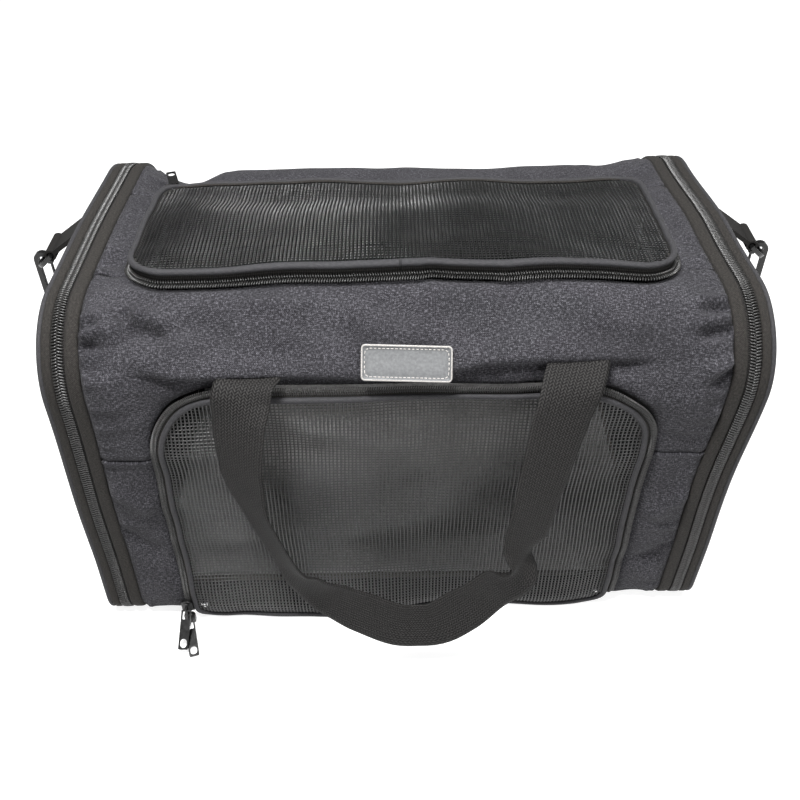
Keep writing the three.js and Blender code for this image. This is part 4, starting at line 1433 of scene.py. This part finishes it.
def add_floor_pad():
    low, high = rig.box("floor_pad")
    pad = cad_copy("floor_pad", "floor_pad_fleece")
    middle = (low + high) / 2
    for vertex in pad.data.vertices:
        away = vertex.co - middle
        vertex.co = middle + Vector((away.x * 0.985, away.y * 0.98, away.z * 0.72))
    remesh = pad.modifiers.new("remesh", "REMESH")
    remesh.mode = "VOXEL"
    remesh.voxel_size = 5.5 * MM
    baked(pad)
    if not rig.quick():
        inflate(pad, 4.0, 4.5 * MM)
    floor = low.z - 0.4 * MM
    for vertex in pad.data.vertices:
        x, y, z = vertex.co
        rim = min(high.x - abs(x), high.y - abs(y))
        dimple = 1.6 * MM * ripple(x, y, 0.05, 0.05, 41) + 0.8 * MM * ripple(x, y, 0.02, 0.02, 42)
        crown = 2.0 * MM * ease(rim / 0.05)
        if z > middle.z:
            vertex.co.z = min(z + crown + dimple, high.z + 4 * MM)
        vertex.co.z = max(vertex.co.z, floor)
    pad.data.polygons.foreach_set("use_smooth", [True] * len(pad.data.polygons))
    finer = pad.modifiers.new("finer", "SUBSURF")
    finer.levels = finer.render_levels = 1
    finish_piece(pad, "floor_pad", ["floor_pad"], "pad_fleece", FLEECE)
    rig.padded(pad, fill=0.5)


# how far the back top edge sags under the top zip's slider, beyond what the whole bag settles
BACK_EDGE_SAG = 11 * MM


def slump_at(node):
    """How far the bag's skin has moved under a CAD piece."""
    low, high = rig.box(node)
    middle = (low + high) / 2
    shift = settle(middle) - middle
    if node in ("top_slider", "top_pull"):
        shift.z -= BACK_EDGE_SAG
    return shift


def refined(node, name, body, width, segments, slot="black_metal", material=BLACK):
    """The CAD piece with its edges rounded, as the moulded or cast part really is."""
    sharp = math.radians(35)
    obj = cad_copy(node, name)
    obj.data.transform(Matrix.Translation(slump_at(node)))
    shape = bmesh.new()
    shape.from_mesh(obj.data)
    bmesh.ops.remove_doubles(shape, verts=shape.verts, dist=0.01 * MM)
    bmesh.ops.dissolve_limit(shape, angle_limit=math.radians(1.0), verts=shape.verts,
                             edges=shape.edges)
    for face in shape.faces:
        face.smooth = True
    for edge in shape.edges:
        edge.smooth = edge.calc_face_angle(0) < sharp
    shape.to_mesh(obj.data)
    shape.free()
    bevel = obj.modifiers.new("round", "BEVEL")
    bevel.width = width
    bevel.segments = segments
    bevel.limit_method = "ANGLE"
    bevel.angle_limit = sharp
    bevel.harden_normals = True
    return finish_piece(obj, body, [node], slot, material)


def add_base_board():
    refined("base_board", "base_board_wrapped", "bag", 1.2 * MM, 3, "base_board", BOARD)


# ---- handles ----


def handle_ribbon(node, points, keys, cup):
    """Handle webbing through the points; keys say which way its width runs along it."""
    centres, _ = smooth_curve([Vector(p) for p in points], HANDLE_STEPS)
    sides = blended_ways(keys, HANDLE_STEPS)
    handle = ribbon(f"{node}_webbing", centres, sides, HANDLE_WIDTH, 1.9 * MM, cup)
    return finish_piece(handle, node, [node], "webbing", HANDLE)


def add_front_handle():
    left, right = -0.0955, 0.1105
    # from its left root down to the bottom, and up to its right root
    points = [
        skin(left, fold_line(left) + 9 * MM, -8 * MM), skin(left, fold_line(left) + 2 * MM, -4 * MM),
        (-0.097, -0.150, 0.234), (-0.101, -0.165, 0.203), (-0.100, -0.172, 0.170),
        (-0.092, -0.177, 0.142), (-0.078, -0.182, 0.107), (-0.067, -0.184, 0.090),
        (-0.050, -0.187, 0.075), (-0.009, -0.190, 0.049), (0.011, -0.190, 0.045),
        (0.030, -0.190, 0.050), (0.062, -0.188, 0.081), (0.079, -0.189, 0.101),
        (0.083, -0.182, 0.122), (0.090, -0.175, 0.163), (0.100, -0.161, 0.209),
        (0.107, -0.151, 0.233),
        skin(right, fold_line(right) + 2 * MM, -4 * MM), skin(right, fold_line(right) + 9 * MM, -8 * MM),
    ]
    # its width turns downwards round the bottom, with a kink on the right
    keys = [
        (0.0, (-1, 0, 0)), (0.05, (-1, 0.05, -0.05)), (0.085, (-0.9, 0.3, -0.3)),
        (0.15, (-0.7, 0.45, -0.55)), (0.215, (-0.4, 0.55, -0.75)), (0.31, (-0.25, 0.5, -0.85)),
        (0.345, (-0.3, 0.25, -0.9)), (0.39, (-0.3, 0, -0.95)), (0.435, (-0.3, -0.15, -0.95)),
        (0.51, (0, -0.25, -0.95)), (0.57, (0.15, -0.2, -0.95)), (0.63, (0.2, 0, -0.95)),
        (0.695, (0.15, 0.1, -0.95)), (0.73, (0.35, 0.15, -0.9)), (0.775, (0.6, 0.25, -0.75)),
        (0.85, (0.9, 0.25, -0.4)), (0.905, (0.95, 0.15, -0.2)), (0.955, (1, 0.05, 0)),
        (1.0, (1, 0.05, 0)),
    ]
    handle = handle_ribbon("front_handle", points, keys, 0.9 * MM)
    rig.squash(handle, "front_door_open", axis=(0, 0, 1), anchor=(0, -0.145, 0.245), keep=0.45)


def add_back_handle():
    half = 0.105
    s = at_back(0.243)
    root = [skin(half, s - 5 * MM, 0.5 * MM), skin(half, s + 4 * MM, 1.7 * MM)]
    leg = [
        (half, 0.150, 0.222), (half - 0.001, 0.160, 0.190), (half - 0.004, 0.170, 0.155),
        (half - 0.012, 0.178, 0.118), (half - 0.029, 0.184, 0.085), (half - 0.056, 0.187, 0.061),
        (half - 0.090, 0.189, 0.050),
    ]
    right = [tuple(p) for p in root] + leg
    left = [(-x, y, z) for x, y, z in right]
    # its left leg hangs a little slacker than its right one
    left = [(x - 0.004 * hump(z, 0.11, 0.1), y - 0.006 * hump(z, 0.12, 0.1), z) for x, y, z in left]
    keys = [
        (0.0, (-1, 0, 0)), (0.08, (-1, 0, 0)), (0.2, (-0.9, 0.4, 0)), (0.3, (-0.72, 0.6, -0.2)),
        (0.4, (-0.45, 0.3, -0.8)), (0.5, (0, 0.15, -0.98)), (0.6, (0.45, 0.25, -0.8)),
        (0.7, (0.8, 0.45, -0.2)), (0.82, (0.95, 0.2, 0)), (0.93, (1, 0, 0)), (1.0, (1, 0, 0)),
    ]
    handle_ribbon("back_handle", left + right[::-1], keys, 1.1 * MM)


# ---- stitches and the badge ----


def stitches(name, points, ups, radius, material):
    """Sewn thread along points: one short raised stitch on each step, with a gap after it."""
    gap = 0.28
    verts, faces = [], []
    for (a, b), up in zip(zip(points, points[1:]), ups):
        way = b - a
        start, end = a + way * (gap / 2), b - way * (gap / 2)
        side = way.cross(up).normalized()
        first = len(verts)
        for t, size in ((0, 0.35), (0.2, 1.0), (0.8, 1.0), (1, 0.35)):
            middle = start.lerp(end, t) - up * radius * (0.6 if size < 1 else 0.1)
            for k in range(6):
                angle = math.pi * k / 3
                verts.append(middle + (side * math.cos(angle) + up * math.sin(angle)) * radius * size)
        faces += strip_faces(4, 6, close_width=True, first=first)
        faces.append(tuple(first + k for k in range(5, -1, -1)))
        faces.append(tuple(first + 18 + k for k in range(6)))
    thread_piece = new_object(name, verts, faces)
    thread_piece.data.materials.append(material)
    return thread_piece


def rounded_slab(name, half_x, half_y, radius, levels, place, capped=True):
    """A slab with rounded corners: one loop per (inset, height) level, from the bottom up."""
    segments = 8
    verts = []
    count = 4 * (segments + 1)
    for inset, height in levels:
        for cx, cy, start in ((1, -1, -90), (1, 1, 0), (-1, 1, 90), (-1, -1, 180)):
            r = max(radius - inset, 0.1 * MM)
            for k in range(segments + 1):
                a = math.radians(start + 90 * k / segments)
                x = cx * (half_x - inset - r) + r * math.cos(a)
                y = cy * (half_y - inset - r) + r * math.sin(a)
                verts.append(place(x, y, height))
    faces = strip_faces(len(levels), count, close_width=True)
    if capped:
        faces.append(tuple(range(count - 1, -1, -1)))
        faces.append(tuple((len(levels) - 1) * count + k for k in range(count)))
    return new_object(name, verts, faces)


def add_badge():
    """A blank rubber badge with a raised pale rim, sewn on over the front top edge."""
    middle = FRONT_TOP + TOP_RADIUS * math.radians(31)

    def place(x, y, height):
        point = skin(0.002, middle + y - 0.02 * x, height + 2.3 * MM)
        return point + Vector((x + 0.03 * y, 0, -0.02 * x))

    half_x, half_y, corner = 28.5 * MM, 10 * MM, 2.6 * MM
    plate = rounded_slab("badge_plate", half_x, half_y, corner, (
        (0, 0), (0, 1.3 * MM), (0.4 * MM, 1.7 * MM), (1.3 * MM, 1.7 * MM), (1.6 * MM, 1.15 * MM),
        (3.4 * MM, 1.15 * MM), (5.0 * MM, 1.2 * MM), (7.5 * MM, 1.2 * MM), (9.8 * MM, 1.2 * MM)),
        place)
    plate.data.materials.append(RUBBER)
    rim = rounded_slab("badge_rim", half_x - 0.1 * MM, half_y - 0.1 * MM, corner, (
        (0.0, 1.0 * MM), (0.0, 1.45 * MM), (0.4 * MM, 1.9 * MM), (0.9 * MM, 1.9 * MM),
        (1.2 * MM, 1.3 * MM), (1.2 * MM, 1.0 * MM)), place, capped=False)
    rim.data.materials.append(RIM_RUBBER)
    sewing = rounded_path(half_x - 2.3 * MM, -half_y + 2.3 * MM, half_y - 2.3 * MM, corner, corner, 2.6 * MM)
    line = [place(x, y, 1.25 * MM) for x, y, _, _ in sewing]
    out = skin_axes(middle)[1]
    thread_piece = stitches("badge_stitches", line + line[:1], [out] * len(line), 0.28 * MM, PALE_THREAD)
    badge = join_objects("blank_badge", [plate, rim, thread_piece])
    finish_piece(badge, "bag", ["label_badge"], "label_rubber")


add_floor_pad()
add_base_board()
add_front_handle()
add_back_handle()
add_badge()


# ---- metal and plastic ----


def add_hardware():
    refined("strap_adjuster", "strap_adjuster_moulded", "bag", 0.8 * MM, 3, "buckle_plastic", PLASTIC)
    zips = ("front_upper", "front_lower", "top", "left_end", "right_end")
    for slider in [f"{name}_slider" for name in zips]:
        body = "bag" if slider == "front_lower_slider" else slider
        refined(slider, f"{slider}_cast", body, 0.45 * MM, 3)
    for pull in [f"{name}_pull" for name in zips]:
        refined(pull, f"{pull}_cast", pull, 0.3 * MM, 2)
    for name, _ in SIDES:
        end = f"{name}_end"
        refined(f"{name}_snap_hook", f"{name}_hook_cast", end, 0.7 * MM, 3)
        refined(f"{name}_hook_gate", f"{name}_gate_wire", f"{name}_hook_gate", 0.35 * MM, 2)
        refined(f"{name}_d_ring", f"{name}_ring_wire", end, 1.2 * MM, 4)
        refined(f"{name}_ring_tab", f"{name}_tab_webbing", end, 0.4 * MM, 2, "webbing", TAB)


add_hardware()

size = {"cad": [list(map(float, v)) for v in cad_bounds], "visual": [list(map(float, v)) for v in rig.bounds()]}
with open("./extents.json", "w") as out_file:
    json.dump(size, out_file)
